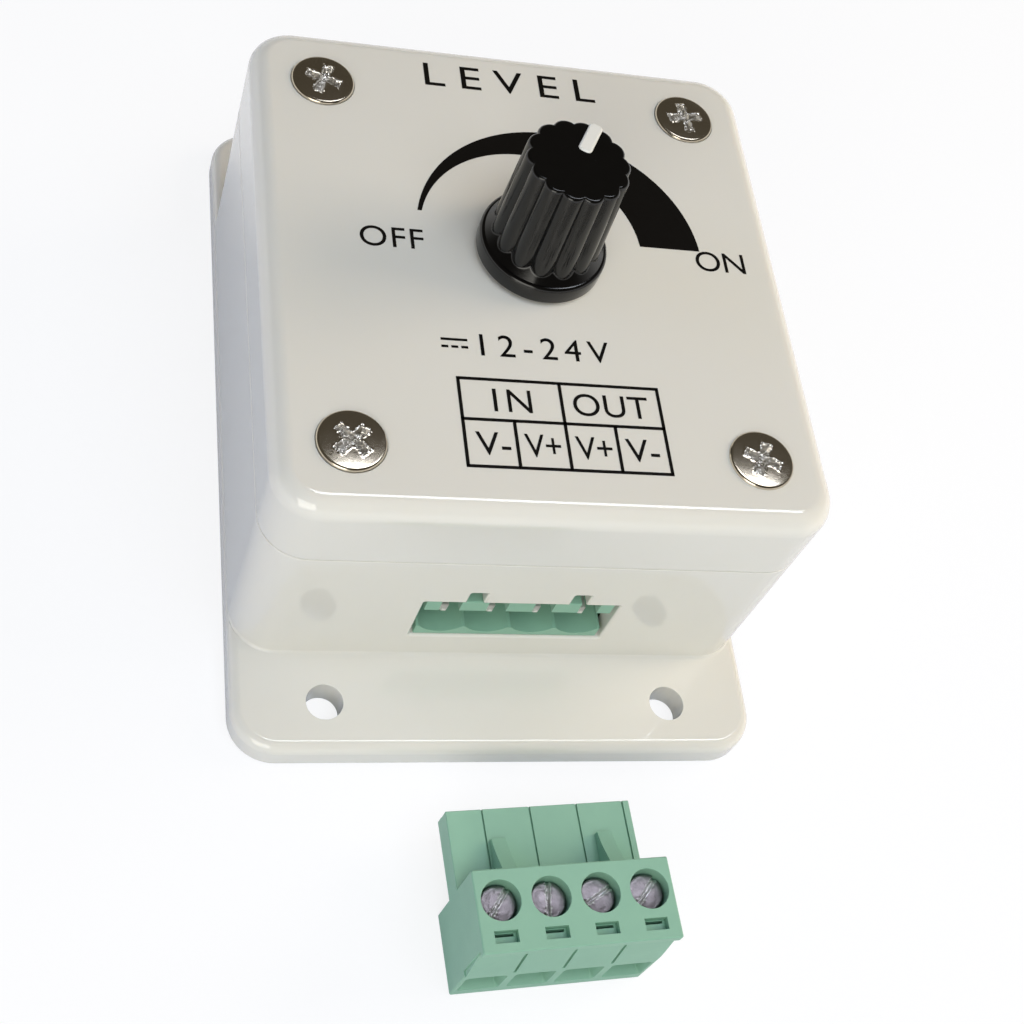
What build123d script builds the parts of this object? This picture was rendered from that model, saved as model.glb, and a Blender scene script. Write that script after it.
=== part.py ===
from build123d import *
import math
import os

# LED dimmer: a two-part plastic case with mounting flanges, a rotary control on the lid,
# a circuit board inside, and a four-way screw terminal plug that is shown taken off.
# Millimetres. Origin: centre of the four mounting holes, on the underside.
# +Z is up towards the knob, the connector faces -Y.

# Case
case_width = 58.5
flange_length = 85.0
flange_thickness = 3.5
flange_edge_round = 1.2
body_depth = 62.5
body_inset = 0.15
corner_radius = 5.0
parting_height = 23.6
lid_height = 9.5
lid_edge_round = 2.2
wall = 2.2
floor_thickness = 2.4
roof_thickness = 2.6
parting_bevel = 0.2
lip_thickness = 1.0
lip_depth = 1.6
lip_root = 2.0
lip_clearance = 0.15

# Mounting holes in the flanges
mount_spacing_x = 38.6
mount_spacing_y = 74.0
mount_hole = 4.0

# Lid screws, their posts and seats
screw_spacing_x = 42.6
screw_spacing_y = 46.9
screw_head = 7.0
screw_head_height = 1.5
screw_head_round = 0.8
screw_shank = 3.5
screw_length = 16.0
screw_tip = 0.8
screw_post = 7.6
screw_seat_depth = 1.0
screw_hole_spare = 2.0
seat_clearance = 0.12
hole_clearance = 0.25
thread_clearance = 0.05
recess_length = 4.0
recess_width = 1.0
recess_depth = 0.9

# Circuit board and its screws
board_height = 6.3
board_thickness = 1.6
board_width = 33.0
board_front_gap = 0.4
board_length = 52.0
board_screw_x = 13.2
board_screw_front = 14.0
board_screw_rear = 48.5
board_screw_head = 4.5
board_screw_head_height = 1.5
board_screw_shank = 2.5
board_screw_length = 5.0
board_post = 6.0
lead_clearance = 0.2
lead_tail = 1.2

# Four-way connector: pin header in the front window, screw plug that fits it
ways = 4
pitch = 5.08
header_end = 0.14
header_height = 7.3
header_depth = 12.0
header_setback = 0.25
header_back_wall = 3.0
header_top_wall = 1.9
header_slot = 2.2
header_slot_depth = 5.0
tray_height = 1.75
trough_radius = 3.0
pin_size = 1.0
pin_rise = 3.6
pin_setback = 1.0
pin_bend = 1.2
pin_tip = 0.25
pin_clearance = 0.02
window_side = 0.45
window_end = 0.2
key_spots = (-5.3, 6.0)
key_notch = 1.8
key_notch_height = 2.1
key_clearance = 0.15

# Rotary control under the lid
pot_x = 0.5
pot_y = 1.3
pot_diameter = 16.5
pot_plate = 1.2
pot_wafer_thickness = 1.2
pot_can_height = 6.5
pot_can_wall = 0.5
pot_tongue_width = 13.0
pot_tongue_length = 5.0
pot_tag_pitch = 5.0
pot_tag_width = 2.0
pot_tag_thickness = 0.5
pot_tag_drop = 5.0
bushing_diameter = 7.0
bushing_proud = 0.3
washer_diameter = 11.0
washer_thickness = 0.4
nut_across_flats = 10.0
nut_thickness = 1.8
shaft_diameter = 6.0
shaft_flat = 1.4
shaft_clearance = 0.05
shaft_end = 0.6
wafer_hole = 7.2
rotor_diameter = 12.5
rotor_thickness = 1.6
rotor_gap = 1.0
wiper_width = 1.2
wiper_reach = 5.0
wiper_clearance = 0.1

# Leads from the control to the board
lead_diameter = 1.2
lead_step = 3.0
lead_straight = 4.0
lead_bend = 4.0

# Knob
knob_gap = 0.6
knob_height = 14.5
knob_roof = 2.2
skirt_diameter = 13.9
skirt_height = 2.2
skirt_round = 0.4
knob_foot = 11.9
knob_top = 11.0
knob_slope_height = 1.2
knob_lobes = 14
lobe_radius = 1.35
knob_edge_round = 0.35
knob_cavity_clearance = 0.3
pointer_angle = 27.5
pointer_width = 1.6
pointer_start = 1.4
pointer_depth = 1.4
pointer_proud = 0.15

# Board components: x from the middle, y from the board's front edge
transistor_x = -9.0
transistor_from_front = 45.0
transistor_body = (10.2, 4.5, 9.2)
transistor_tab = (10.2, 1.3, 15.6)
transistor_hole = 3.6
transistor_stand = 3.5
transistor_pitch = 2.54
chip_x = -8.0
chip_from_front = 25.5
chip_body = (9.6, 6.4, 3.3)
chip_stand = 0.6
chip_pitch = 2.54
chip_row = 7.62
chip_notch = 1.3
chip_notch_depth = 0.6
regulator_x = 3.0
regulator_from_front = 46.0
regulator_diameter = 4.8
regulator_height = 4.8
regulator_stand = 2.0
regulator_flat = 1.3
regulator_pitch = 1.27
can_x = 10.5
can_from_front = 41.5
can_diameter = 8.0
can_height = 11.5
can_pitch = 3.5
can_round = 0.5
can_groove = 0.5
can_groove_height = 1.5
disc_x = 3.5
disc_from_front = (24.0, 29.0)
disc_diameter = 5.0
disc_thickness = 2.4
disc_stand = 1.0
disc_pitch = 2.54
diode_x = 0.0
diode_from_front = 40.0
diode_diameter = 2.7
diode_length = 5.2
diode_span = 10.16
resistor_x = (8.0, 11.0, 14.0)
resistor_from_front = (22.5, 32.5)
resistor_diameter = 2.3
resistor_length = 6.3
resistor_span = 8.4
lead_wire = 0.6

# Plug: block with the terminal screws, and the half that enters the header
plug_x = 2.2
plug_y = -66.5
plug_turn = 2.7
plug_height = 13.6
plug_depth = 8.1
plug_mate = 8.0
plug_mate_inset = 1.0
plug_axis = 6.3
socket_clearance = 0.1
plug_screw_y = 5.0
plug_screw_hole = 4.0
plug_screw_head = 3.7
plug_screw_head_height = 1.6
plug_screw_round = 0.3
plug_screw_sunk = 1.1
plug_screw_shank = 2.5
plug_screw_clearance = 0.07
plug_slot_width = 0.6
plug_slot_depth = 0.8
plug_slot_turns = (-38.0, -8.0, -62.0, -42.0)
plug_lip = 1.0
plug_lip_reach = 0.6
entry_width = 3.6
funnel_flare = 0.35
funnel_depth = 0.9
groove_width = 0.35
groove_depth = 0.4
groove_offset = -1.27
test_slot = (2.4, 1.2, 3.0)
test_slot_y = 1.5
key_length = 4.6
key_height = 3.4
key_end = 0.8
clamp_width = 3.8
clamp_depth = 4.2
clamp_wall = 0.6
clamp_top = 0.7
clamp_bottom = 1.1
clamp_height = 5.8
clamp_lift = 2.0
clamp_clearance = 0.15
contact_bar = 0.5
contact_bar_width = 2.3
contact_box_width = 2.4
contact_box_height = 2.2
contact_channel_clearance = 0.1
contact_end_wall = 0.8
pin_entry = 1.7

# Worked out from the sizes above
case_height = parting_height + lid_height
body_width = case_width - 2 * body_inset
cavity_width = body_width - 2 * wall
cavity_depth = body_depth - 2 * wall
cavity_radius = corner_radius - wall
roof_under = case_height - roof_thickness
front_wall = -body_depth / 2
board_top = board_height + board_thickness
board_front = front_wall + wall + board_front_gap
board_rear = board_front + board_length
transistor_y = board_front + transistor_from_front
chip_y = board_front + chip_from_front
regulator_y = board_front + regulator_from_front
can_y = board_front + can_from_front
diode_y = board_front + diode_from_front
disc_spots = [(disc_x, board_front + y) for y in disc_from_front]
resistor_spots = [(x, board_front + y) for y in resistor_from_front for x in resistor_x]
header_width = ways * pitch + 2 * header_end
header_front = front_wall + header_setback
header_rear = header_front + header_depth
header_top = board_top + header_height
pin_height = board_top + pin_rise
pin_drop_y = header_rear + pin_bend
way_spots = [(way - (ways - 1) / 2) * pitch for way in range(ways)]
way_borders = [(border - ways / 2) * pitch for border in range(1, ways)]
pot_plate_under = roof_under - pot_plate
wafer_under = pot_plate_under - pot_wafer_thickness
can_under = wafer_under - pot_can_height
tongue_end = -pot_diameter / 2 - pot_tongue_length
bushing_top = case_height + washer_thickness + nut_thickness + bushing_proud
knob_bottom = case_height + knob_gap
knob_crown = knob_bottom + knob_height
shaft_top = knob_crown - knob_roof
rotor_top = wafer_under - rotor_gap
rotor_bottom = rotor_top - rotor_thickness
mate_above = header_height - header_top_wall - pin_rise - socket_clearance
lobe_size = trough_radius - socket_clearance
plug_width = ways * pitch
mate_rear = plug_depth + plug_mate
plug_seat = plug_height - plug_screw_sunk - plug_screw_head_height
clamp_inside = clamp_bottom + clamp_wall
bar_bottom = plug_axis - contact_box_height / 2
chamber_top = clamp_bottom + clamp_height + clamp_lift + clamp_clearance


def corners(spacing_x, spacing_y):
    return [(x * spacing_x / 2, y * spacing_y / 2) for x in (-1, 1) for y in (-1, 1)]


mount_spots = corners(mount_spacing_x, mount_spacing_y)
lid_screw_spots = corners(screw_spacing_x, screw_spacing_y)
board_screw_rows = (board_front + board_screw_front, board_front + board_screw_rear)
board_screw_spots = [(x * board_screw_x, y) for x in (-1, 1) for y in board_screw_rows]


def prism(width, depth, radius, bottom, top):
    return Pos(0, 0, bottom) * extrude(RectangleRounded(width, depth, radius), top - bottom)


def rod(diameter, bottom, top, spot=(0, 0)):
    upright = Cylinder(diameter / 2, top - bottom, align=(Align.CENTER, Align.CENTER, Align.MIN))
    return Pos(spot[0], spot[1], bottom) * upright


def block(x_range, y_range, z_range):
    size = [high - low for low, high in (x_range, y_range, z_range)]
    corner = Box(*size, align=(Align.MIN, Align.MIN, Align.MIN))
    return Pos(x_range[0], y_range[0], z_range[0]) * corner


def centred(size, middle=0):
    return (middle - size / 2, middle + size / 2)


def side_profile(points, x_range):
    # Outline in the YZ plane, drawn out across X
    face = make_face(Polyline(*[(0, y, z) for y, z in points], close=True))
    return Pos(x_range[0], 0, 0) * extrude(face, x_range[1] - x_range[0], dir=(1, 0, 0))


def lying_rod(diameter, y_range, x, z):
    along_y = Cylinder(diameter / 2, y_range[1] - y_range[0], align=(Align.CENTER, Align.CENTER, Align.MAX))
    return Pos(x, y_range[0], z) * Rot(90, 0, 0) * along_y


def group(solids):
    return Compound(children=list(solids))


def fused(first, others):
    for other in others:
        first += other
    return first


def top_edges(part):
    return part.edges().group_by(Axis.Z)[-1]


def bottom_edges(part):
    return part.edges().group_by(Axis.Z)[0]


def make_base():
    flange = prism(case_width, flange_length, corner_radius, 0, flange_thickness)
    flange = fillet(top_edges(flange), flange_edge_round)
    walls = prism(body_width, body_depth, corner_radius, 0, parting_height)
    walls = chamfer(top_edges(walls), parting_bevel)
    base = flange + walls
    base -= prism(cavity_width, cavity_depth, cavity_radius, floor_thickness, parting_height)
    thread_hole = screw_shank + 2 * thread_clearance
    thread_bottom = case_height - screw_seat_depth - screw_length - screw_hole_spare
    for spot in lid_screw_spots:
        base += rod(screw_post, floor_thickness / 2, parting_height, spot)
        base -= rod(thread_hole, thread_bottom, parting_height, spot)
    board_thread = board_screw_shank + 2 * thread_clearance
    for spot in board_screw_spots:
        base += rod(board_post, floor_thickness / 2, board_height, spot)
        base -= rod(board_thread, board_top - board_screw_length, board_height, spot)
    for spot in mount_spots:
        base -= rod(mount_hole, 0, flange_thickness, spot)
    through_wall = (front_wall, front_wall + wall)
    window_z = (board_top - window_end / 2, header_top + window_end)
    base -= block(centred(header_width + 2 * window_side), through_wall, window_z)
    for key in key_spots:
        base -= block(centred(key_notch, key), through_wall, (board_top, window_z[1] + key_notch_height))
    return base


def make_lid():
    lid = prism(body_width, body_depth, corner_radius, parting_height, case_height)
    lid = fillet(top_edges(lid), lid_edge_round)
    lid = chamfer(bottom_edges(lid), parting_bevel)
    lid -= prism(cavity_width, cavity_depth, cavity_radius, parting_height, roof_under)
    lip_inset = lip_clearance + lip_thickness
    lip_hole = prism(
        cavity_width - 2 * lip_inset, cavity_depth - 2 * lip_inset, cavity_radius - lip_inset,
        parting_height - lip_depth, parting_height + lip_root)
    lip = prism(
        cavity_width - 2 * lip_clearance, cavity_depth - 2 * lip_clearance, cavity_radius - lip_clearance,
        parting_height - lip_depth, parting_height + lip_root / 2)
    root = prism(cavity_width, cavity_depth, cavity_radius, parting_height, parting_height + lip_root)
    lid += (root + lip) - lip_hole
    for spot in lid_screw_spots:
        lid += rod(screw_post, parting_height, case_height - roof_thickness / 2, spot)
        lid -= rod(screw_shank + 2 * hole_clearance, parting_height, case_height, spot)
        lid -= rod(screw_head + 2 * seat_clearance, case_height - screw_seat_depth, case_height, spot)
    lid -= rod(bushing_diameter + 2 * hole_clearance, roof_under, case_height, (pot_x, pot_y))
    return lid


def cross_recess(length, width, depth, top):
    recess = block(centred(length), centred(width), (top - depth, top))
    return recess + block(centred(width), centred(length), (top - depth, top))


def make_screw(head, head_height, head_round, shank, length, tip, seat, recess):
    dome = fillet(top_edges(rod(head, seat, seat + head_height)), head_round)
    stem = chamfer(bottom_edges(rod(shank, seat - length, seat)), tip)
    return dome + stem - cross_recess(*recess, seat + head_height)


def make_lid_screws():
    seat = case_height - screw_seat_depth
    recess = (recess_length, recess_width, recess_depth)
    screw = make_screw(
        screw_head, screw_head_height, screw_head_round, screw_shank, screw_length, screw_tip, seat, recess)
    return group([Pos(x, y, 0) * screw for x, y in lid_screw_spots])


def make_board_screws():
    share = board_screw_head / screw_head
    recess = (recess_length * share, recess_width * share, recess_depth * share)
    screw = make_screw(
        board_screw_head, board_screw_head_height, screw_head_round * share,
        board_screw_shank, board_screw_length, screw_tip * share, board_top, recess)
    return group([Pos(x, y, 0) * screw for x, y in board_screw_spots])


def make_board():
    board = block(centred(board_width), (board_front, board_rear), (board_height, board_top))
    for spot in board_screw_spots:
        board -= rod(board_screw_shank + 2 * hole_clearance, board_height, board_top, spot)
    pin_hole = pin_size * math.sqrt(2) + 2 * lead_clearance
    for x in way_spots:
        board -= rod(pin_hole, board_height, board_top, (x, pin_drop_y))
    for spot in lead_spots():
        board -= rod(lead_wire + 2 * lead_clearance, board_height, board_top, spot)
    return board


# Where each component's leads go through the board
def row_of(count, spacing, x, y):
    return [(x + (step - (count - 1) / 2) * spacing, y) for step in range(count)]


def transistor_leads():
    return row_of(3, transistor_pitch, transistor_x, transistor_y)


def chip_leads():
    return [spot for side in (-1, 1) for spot in row_of(4, chip_pitch, chip_x, chip_y + side * chip_row / 2)]


def regulator_leads():
    return row_of(3, regulator_pitch, regulator_x, regulator_y)


def can_leads():
    return row_of(2, can_pitch, can_x, can_y)


def disc_leads():
    return [spot for x, y in disc_spots for spot in row_of(2, disc_pitch, x, y)]


def diode_leads():
    return row_of(2, diode_span, diode_x, diode_y)


def resistor_leads():
    return [(x, y + side * resistor_span / 2) for x, y in resistor_spots for side in (-1, 1)]


def lead_spots():
    single = transistor_leads() + chip_leads() + regulator_leads() + can_leads()
    return single + disc_leads() + diode_leads() + resistor_leads()


def legs(spots, top):
    return [rod(lead_wire, board_height - lead_tail, top, spot) for spot in spots]


def make_transistor():
    width, depth, height = transistor_body
    tab_width, tab_thickness, tab_height = transistor_tab
    foot = board_top + transistor_stand
    front = transistor_y - depth / 2
    case = block(centred(width, transistor_x), (front, front + depth), (foot, foot + height))
    tab = block(centred(tab_width, transistor_x), (front + depth - tab_thickness, front + depth),
                (foot, foot + tab_height))
    hole_z = foot + (height + tab_height) / 2
    tab -= lying_rod(transistor_hole, (front, front + depth), transistor_x, hole_z)
    return fused(case + tab, legs(transistor_leads(), foot + lead_tail))


def make_chip():
    length, depth, height = chip_body
    foot = board_top + chip_stand
    body = block(centred(length, chip_x), centred(depth, chip_y), (foot, foot + height))
    body -= rod(chip_notch, foot + height - chip_notch_depth, foot + height, (chip_x - length / 2, chip_y))
    knee = foot + height / 2
    arms = []
    for x, y in chip_leads():
        reach = sorted((y, chip_y))
        arms.append(block(centred(lead_wire, x), reach, (knee - lead_wire / 2, knee + lead_wire / 2)))
    return fused(body, arms + legs(chip_leads(), knee))


def make_regulator():
    foot = board_top + regulator_stand
    top = foot + regulator_height
    body = rod(regulator_diameter, foot, top, (regulator_x, regulator_y))
    flat_front = regulator_y - regulator_flat
    body -= block(centred(regulator_diameter, regulator_x),
                  (flat_front - regulator_diameter, flat_front), (foot, top))
    return fused(body, legs(regulator_leads(), foot + lead_tail))


def make_filter_capacitor():
    top = board_top + can_height
    can = fillet(top_edges(rod(can_diameter, board_top, top, (can_x, can_y))), can_round)
    groove_z = board_top + can_groove_height
    ring = rod(can_diameter + can_groove, groove_z, groove_z + can_groove, (can_x, can_y))
    ring -= rod(can_diameter - can_groove, groove_z, groove_z + can_groove, (can_x, can_y))
    return fused(can - ring, legs(can_leads(), board_top + lead_tail))


def make_disc_capacitors():
    discs = []
    for x, y in disc_spots:
        middle = board_top + disc_stand + disc_diameter / 2
        disc = lying_rod(disc_diameter, centred(disc_thickness, y), x, middle)
        discs.append(fused(disc, legs(row_of(2, disc_pitch, x, y), middle)))
    return group(discs)


def axial(diameter, length, span):
    # Component lying along X on the board, with its two leads bent down through it
    middle = board_top + diameter / 2
    along_x = Rot(0, 90, 0)
    body = Pos(0, 0, middle) * along_x * Cylinder(diameter / 2, length)
    wire = Pos(0, 0, middle) * along_x * Cylinder(lead_wire / 2, span)
    return fused(body + wire, legs(row_of(2, span, 0, 0), middle))


def make_diode():
    return Pos(diode_x, diode_y, 0) * axial(diode_diameter, diode_length, diode_span)


def make_resistors():
    resistor = Rot(0, 0, 90) * axial(resistor_diameter, resistor_length, resistor_span)
    return group([Pos(x, y, 0) * resistor for x, y in resistor_spots])


def make_header():
    across = centred(header_width)
    tray_top = board_top + tray_height
    header = block(across, (header_front, header_rear), (board_top, tray_top))
    back = (header_rear - header_back_wall, header_rear)
    header += block(across, back, (board_top, header_top))
    header += block(across, (header_front, header_rear), (header_top - header_top_wall, header_top))
    for x in way_spots:
        trough = lying_rod(2 * trough_radius, (header_front, back[0]), x, pin_height)
        header -= trough & block(across, (header_front, back[0]), (board_top, pin_height))
        header -= block(centred(header_slot, x), (header_front, header_front + header_slot_depth),
                        (pin_height, header_top))
        hole = pin_size + 2 * pin_clearance
        header -= block(centred(hole, x), back, centred(hole, pin_height))
    return header


def make_header_pins():
    tip = header_front + pin_setback
    pins = []
    for x in way_spots:
        reach = (tip, pin_drop_y + pin_size / 2)
        level = block(centred(pin_size, x), reach, centred(pin_size, pin_height))
        level = chamfer(level.faces().sort_by(Axis.Y)[0].edges(), pin_tip)
        drop = block(centred(pin_size, x), centred(pin_size, pin_drop_y),
                     (board_height - lead_tail, pin_height))
        pins.append(level + drop)
    return group(pins)


def at_pot(part):
    return Pos(pot_x, pot_y, 0) * part


def make_pot_bushing():
    bushing = rod(pot_diameter, pot_plate_under, roof_under) + rod(bushing_diameter, roof_under, bushing_top)
    bushing -= rod(shaft_diameter + 2 * shaft_clearance, pot_plate_under, bushing_top)
    return at_pot(bushing)


def make_pot_washer():
    top = case_height + washer_thickness
    hole = rod(bushing_diameter + 2 * thread_clearance, case_height, top)
    return at_pot(rod(washer_diameter, case_height, top) - hole)


def make_pot_nut():
    bottom = case_height + washer_thickness
    hexagon = RegularPolygon(nut_across_flats / 2, 6, major_radius=False)
    nut = Pos(0, 0, bottom) * extrude(hexagon, nut_thickness)
    return at_pot(nut - rod(bushing_diameter + 2 * thread_clearance, bottom, bottom + nut_thickness))


def make_pot_wafer():
    wafer = rod(pot_diameter, wafer_under, pot_plate_under)
    wafer += block(centred(pot_tongue_width), (tongue_end, 0), (wafer_under, pot_plate_under))
    return at_pot(wafer - rod(wafer_hole, wafer_under, pot_plate_under))


def make_pot_case():
    can = fillet(bottom_edges(rod(pot_diameter, can_under, wafer_under)), pot_can_wall)
    return at_pot(can - rod(pot_diameter - 2 * pot_can_wall, can_under + pot_can_wall, wafer_under))


def make_pot_terminals():
    tags = []
    outer = tongue_end
    inner = tongue_end + pot_tongue_length / 2
    for step in (-1, 0, 1):
        across = centred(pot_tag_width, step * pot_tag_pitch)
        foot = block(across, (outer, inner), (wafer_under - pot_tag_thickness, wafer_under))
        drop = block(across, (outer, outer + pot_tag_thickness), (wafer_under - pot_tag_drop, wafer_under))
        tags.append(at_pot(foot + drop))
    return group(tags)


def make_pot_leads():
    top = wafer_under - pot_tag_drop
    start_y = tongue_end + pot_tag_thickness / 2
    leads = []
    for step in (-1, 0, 1):
        x = step * pot_tag_pitch
        route = [
            (x, start_y, top),
            (x, start_y, top - lead_straight),
            (x, start_y - lead_step, board_top + lead_straight),
            (x, start_y - lead_step, board_top),
        ]
        path = FilletPolyline(*route, radius=lead_bend)
        section = Plane(origin=path @ 0, z_dir=path % 0) * Circle(lead_diameter / 2)
        leads.append(at_pot(sweep(section, path=path)))
    return group(leads)


def flatted_rod(diameter, bottom, top, clearance=0.0):
    # Round with one flat, as the shaft's end and the knob's bore
    radius = diameter / 2
    flat = radius - shaft_flat + clearance
    cut = block((flat, diameter), centred(2 * diameter), (bottom, top))
    return rod(diameter + 2 * clearance, bottom, top) - cut


def make_pot_shaft():
    flat_from = bushing_top + knob_cavity_clearance
    shaft = rod(shaft_diameter, rotor_bottom - shaft_end, flat_from)
    shaft += flatted_rod(shaft_diameter, flat_from, shaft_top)
    return at_pot(shaft)


def make_pot_wiper():
    wiper = rod(rotor_diameter, rotor_bottom, rotor_top)
    wiper -= rod(shaft_diameter + 2 * pin_clearance, rotor_bottom, rotor_top)
    for side in (-1, 1):
        across = centred(wiper_width, side * wiper_reach)
        wiper += block(across, centred(wiper_width), (rotor_bottom, wafer_under - wiper_clearance))
    return at_pot(wiper)


def lobed_face(diameter, height):
    # Ring of rounded lobes, as the knob's grip is in section
    middle = diameter / 2 - lobe_radius
    half_step = math.pi / knob_lobes
    valley = middle * math.cos(half_step) + math.sqrt(lobe_radius**2 - (middle * math.sin(half_step))**2)
    arcs = []
    for lobe in range(knob_lobes):
        turn = 2 * half_step * lobe
        ends = [(valley * math.cos(a), valley * math.sin(a)) for a in (turn - half_step, turn + half_step)]
        crest = (diameter / 2 * math.cos(turn), diameter / 2 * math.sin(turn))
        arcs.append(ThreePointArc(ends[0], crest, ends[1]))
    return Pos(0, 0, height) * make_face(arcs)


def make_knob():
    skirt_top = knob_bottom + skirt_height
    slope_top = skirt_top + knob_slope_height
    skirt = fillet(top_edges(rod(skirt_diameter, knob_bottom, skirt_top)), skirt_round)
    slope = Cone(skirt_diameter / 2 - skirt_round, knob_foot / 2 - lobe_radius / 2, knob_slope_height,
                 align=(Align.CENTER, Align.CENTER, Align.MIN))
    grip = loft([lobed_face(knob_foot, skirt_top), lobed_face(knob_top, knob_crown)], ruled=True)
    grip = fillet(top_edges(grip), knob_edge_round)
    # A groove between two lobes lines up with the pointer
    grip = Rot(0, 0, 90 - pointer_angle + 180 / knob_lobes) * grip
    knob = skirt + Pos(0, 0, skirt_top) * slope + grip
    nut_corner = nut_across_flats / math.cos(math.pi / 6)
    cavity_top = bushing_top + knob_cavity_clearance
    knob -= rod(nut_corner + 2 * knob_cavity_clearance, knob_bottom, cavity_top)
    knob -= flatted_rod(shaft_diameter, cavity_top, shaft_top, pin_clearance)
    knob -= pointer_bar(knob_foot, knob_crown)
    return at_pot(knob)


def pointer_bar(reach, top):
    bar = block(centred(pointer_width), (pointer_start, reach), (knob_crown - pointer_depth, top))
    return Rot(0, 0, -pointer_angle) * bar


def make_pointer():
    return at_pot(pointer_bar(knob_top / 2 + pointer_proud, knob_crown + pointer_proud))


def place_plug(part):
    return Pos(plug_x, plug_y, 0) * Rot(0, 0, plug_turn) * part


def make_plug_housing():
    across = centred(plug_width)
    housing = block(across, (0, plug_depth), (0, plug_height))
    lip_under = plug_height - plug_lip
    panel_foot = plug_axis
    housing -= side_profile([(0, lip_under), (plug_lip_reach, lip_under), (0, panel_foot)], across)
    housing += mating_half()
    for x in way_spots:
        housing -= way_cavity(x)
    for x in [across[0]] + way_borders:
        housing -= block(centred(groove_width, x), (0, plug_lip_reach), (panel_foot, lip_under))
    return place_plug(housing)


def mating_half():
    across = (-plug_width / 2, plug_width / 2 - plug_mate_inset)
    along = (plug_depth, mate_rear)
    top = plug_axis + mate_above
    cusp = plug_axis - math.sqrt(lobe_size**2 - (pitch / 2)**2)
    half = block(across, along, (cusp, top))
    lobes = fused(lying_rod(2 * lobe_size, along, way_spots[0], plug_axis),
                  [lying_rod(2 * lobe_size, along, x, plug_axis) for x in way_spots[1:]])
    half += lobes & block(across, along, (plug_axis - lobe_size, plug_axis))
    for x in way_spots:
        half -= block(centred(groove_width, x + pitch / 2 + groove_offset), along, (top - groove_depth, top))
    key_width = key_notch - 2 * key_clearance
    for key in key_spots:
        outline = [(plug_depth, top - groove_depth), (plug_depth + key_length, top - groove_depth),
                   (plug_depth + key_length, top + key_end), (plug_depth, top + key_height)]
        half += side_profile(outline, centred(key_width, key))
    return half


def way_cavity(x):
    # Wire entry, clamp chamber, screw hole, test slot and contact channel of one way
    chamber_x = centred(clamp_width + 2 * clamp_clearance, x)
    chamber_y = centred(clamp_depth + 2 * clamp_clearance, plug_screw_y)
    cavity = block(chamber_x, chamber_y, (clamp_bottom - clamp_clearance, chamber_top))
    entry_x = centred(entry_width, x)
    cavity += block(entry_x, (0, plug_screw_y), (clamp_inside, bar_bottom))
    mouth = Pos(x, 0, (clamp_inside + bar_bottom) / 2) * Rot(-90, 0, 0)
    tall = bar_bottom - clamp_inside
    wide = [RectangleRounded(entry_width + grow, tall + grow, funnel_flare) for grow in (2 * funnel_flare, 0)]
    cavity += mouth * loft([wide[0], Pos(0, 0, funnel_depth) * wide[1]], ruled=True)
    shank_hole = plug_screw_shank + 2 * plug_screw_clearance
    cavity += rod(shank_hole, chamber_top - clamp_clearance, plug_height, (x, plug_screw_y))
    cavity += rod(plug_screw_hole, plug_seat, plug_height, (x, plug_screw_y))
    slot_width, slot_length, slot_depth = test_slot
    cavity += block(centred(slot_width, x), centred(slot_length, test_slot_y),
                    (plug_height - slot_depth, plug_height))
    channel_x = centred(contact_box_width + 2 * contact_channel_clearance, x)
    channel_z = centred(contact_box_height, plug_axis)
    cavity += block(channel_x, (plug_screw_y, mate_rear - contact_end_wall), channel_z)
    cavity += block(centred(pin_entry, x), (plug_screw_y, mate_rear), centred(pin_entry, plug_axis))
    return cavity


def make_plug_contacts():
    contacts = []
    box_y = (plug_screw_y + clamp_depth / 2 + clamp_clearance, mate_rear - contact_end_wall)
    for x in way_spots:
        box = block(centred(contact_box_width, x), box_y, centred(contact_box_height, plug_axis))
        hole = pin_size + 2 * contact_channel_clearance
        box -= block(centred(hole, x), box_y, centred(hole, plug_axis))
        bar_y = (plug_screw_y - clamp_depth / 2, box_y[0] + contact_bar)
        bar = block(centred(contact_bar_width, x), bar_y, (bar_bottom, bar_bottom + contact_bar))
        contacts.append(place_plug(box + bar))
    return group(contacts)


def make_terminal_screw(x, turn):
    top = plug_seat + plug_screw_head_height
    head = fillet(top_edges(rod(plug_screw_head, plug_seat, top)), plug_screw_round)
    head -= block(centred(plug_slot_width), centred(plug_screw_head), (top - plug_slot_depth, top))
    tip = bar_bottom + contact_bar + clamp_clearance
    screw = head + rod(plug_screw_shank, tip, plug_seat)
    return place_plug(Pos(x, plug_screw_y, 0) * Rot(0, 0, turn) * screw)


def make_wire_clamp(x):
    outer = block(centred(clamp_width), centred(clamp_depth), (clamp_bottom, clamp_bottom + clamp_height))
    inside = (clamp_inside, clamp_bottom + clamp_height - clamp_top)
    clamp = outer - block(centred(clamp_width - 2 * clamp_wall), centred(clamp_depth), inside)
    clamp -= rod(plug_screw_shank + 2 * plug_screw_clearance, inside[1], inside[1] + clamp_top)
    return place_plug(Pos(x, plug_screw_y, 0) * clamp)


pieces = {
    "base_housing": make_base(),
    "lid": make_lid(),
    "lid_screws": make_lid_screws(),
    "circuit_board": make_board(),
    "board_screws": make_board_screws(),
    "header_housing": make_header(),
    "header_pins": make_header_pins(),
    "power_transistor": make_transistor(),
    "timer_chip": make_chip(),
    "voltage_regulator": make_regulator(),
    "filter_capacitor": make_filter_capacitor(),
    "disc_capacitors": make_disc_capacitors(),
    "flyback_diode": make_diode(),
    "resistors": make_resistors(),
    "pot_bushing": make_pot_bushing(),
    "pot_washer": make_pot_washer(),
    "pot_nut": make_pot_nut(),
    "pot_wafer": make_pot_wafer(),
    "pot_case": make_pot_case(),
    "pot_terminals": make_pot_terminals(),
    "pot_leads": make_pot_leads(),
    "pot_shaft": make_pot_shaft(),
    "pot_wiper": make_pot_wiper(),
    "knob": make_knob(),
    "knob_pointer": make_pointer(),
    "plug_housing": make_plug_housing(),
    "plug_contacts": make_plug_contacts(),
}
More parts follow.
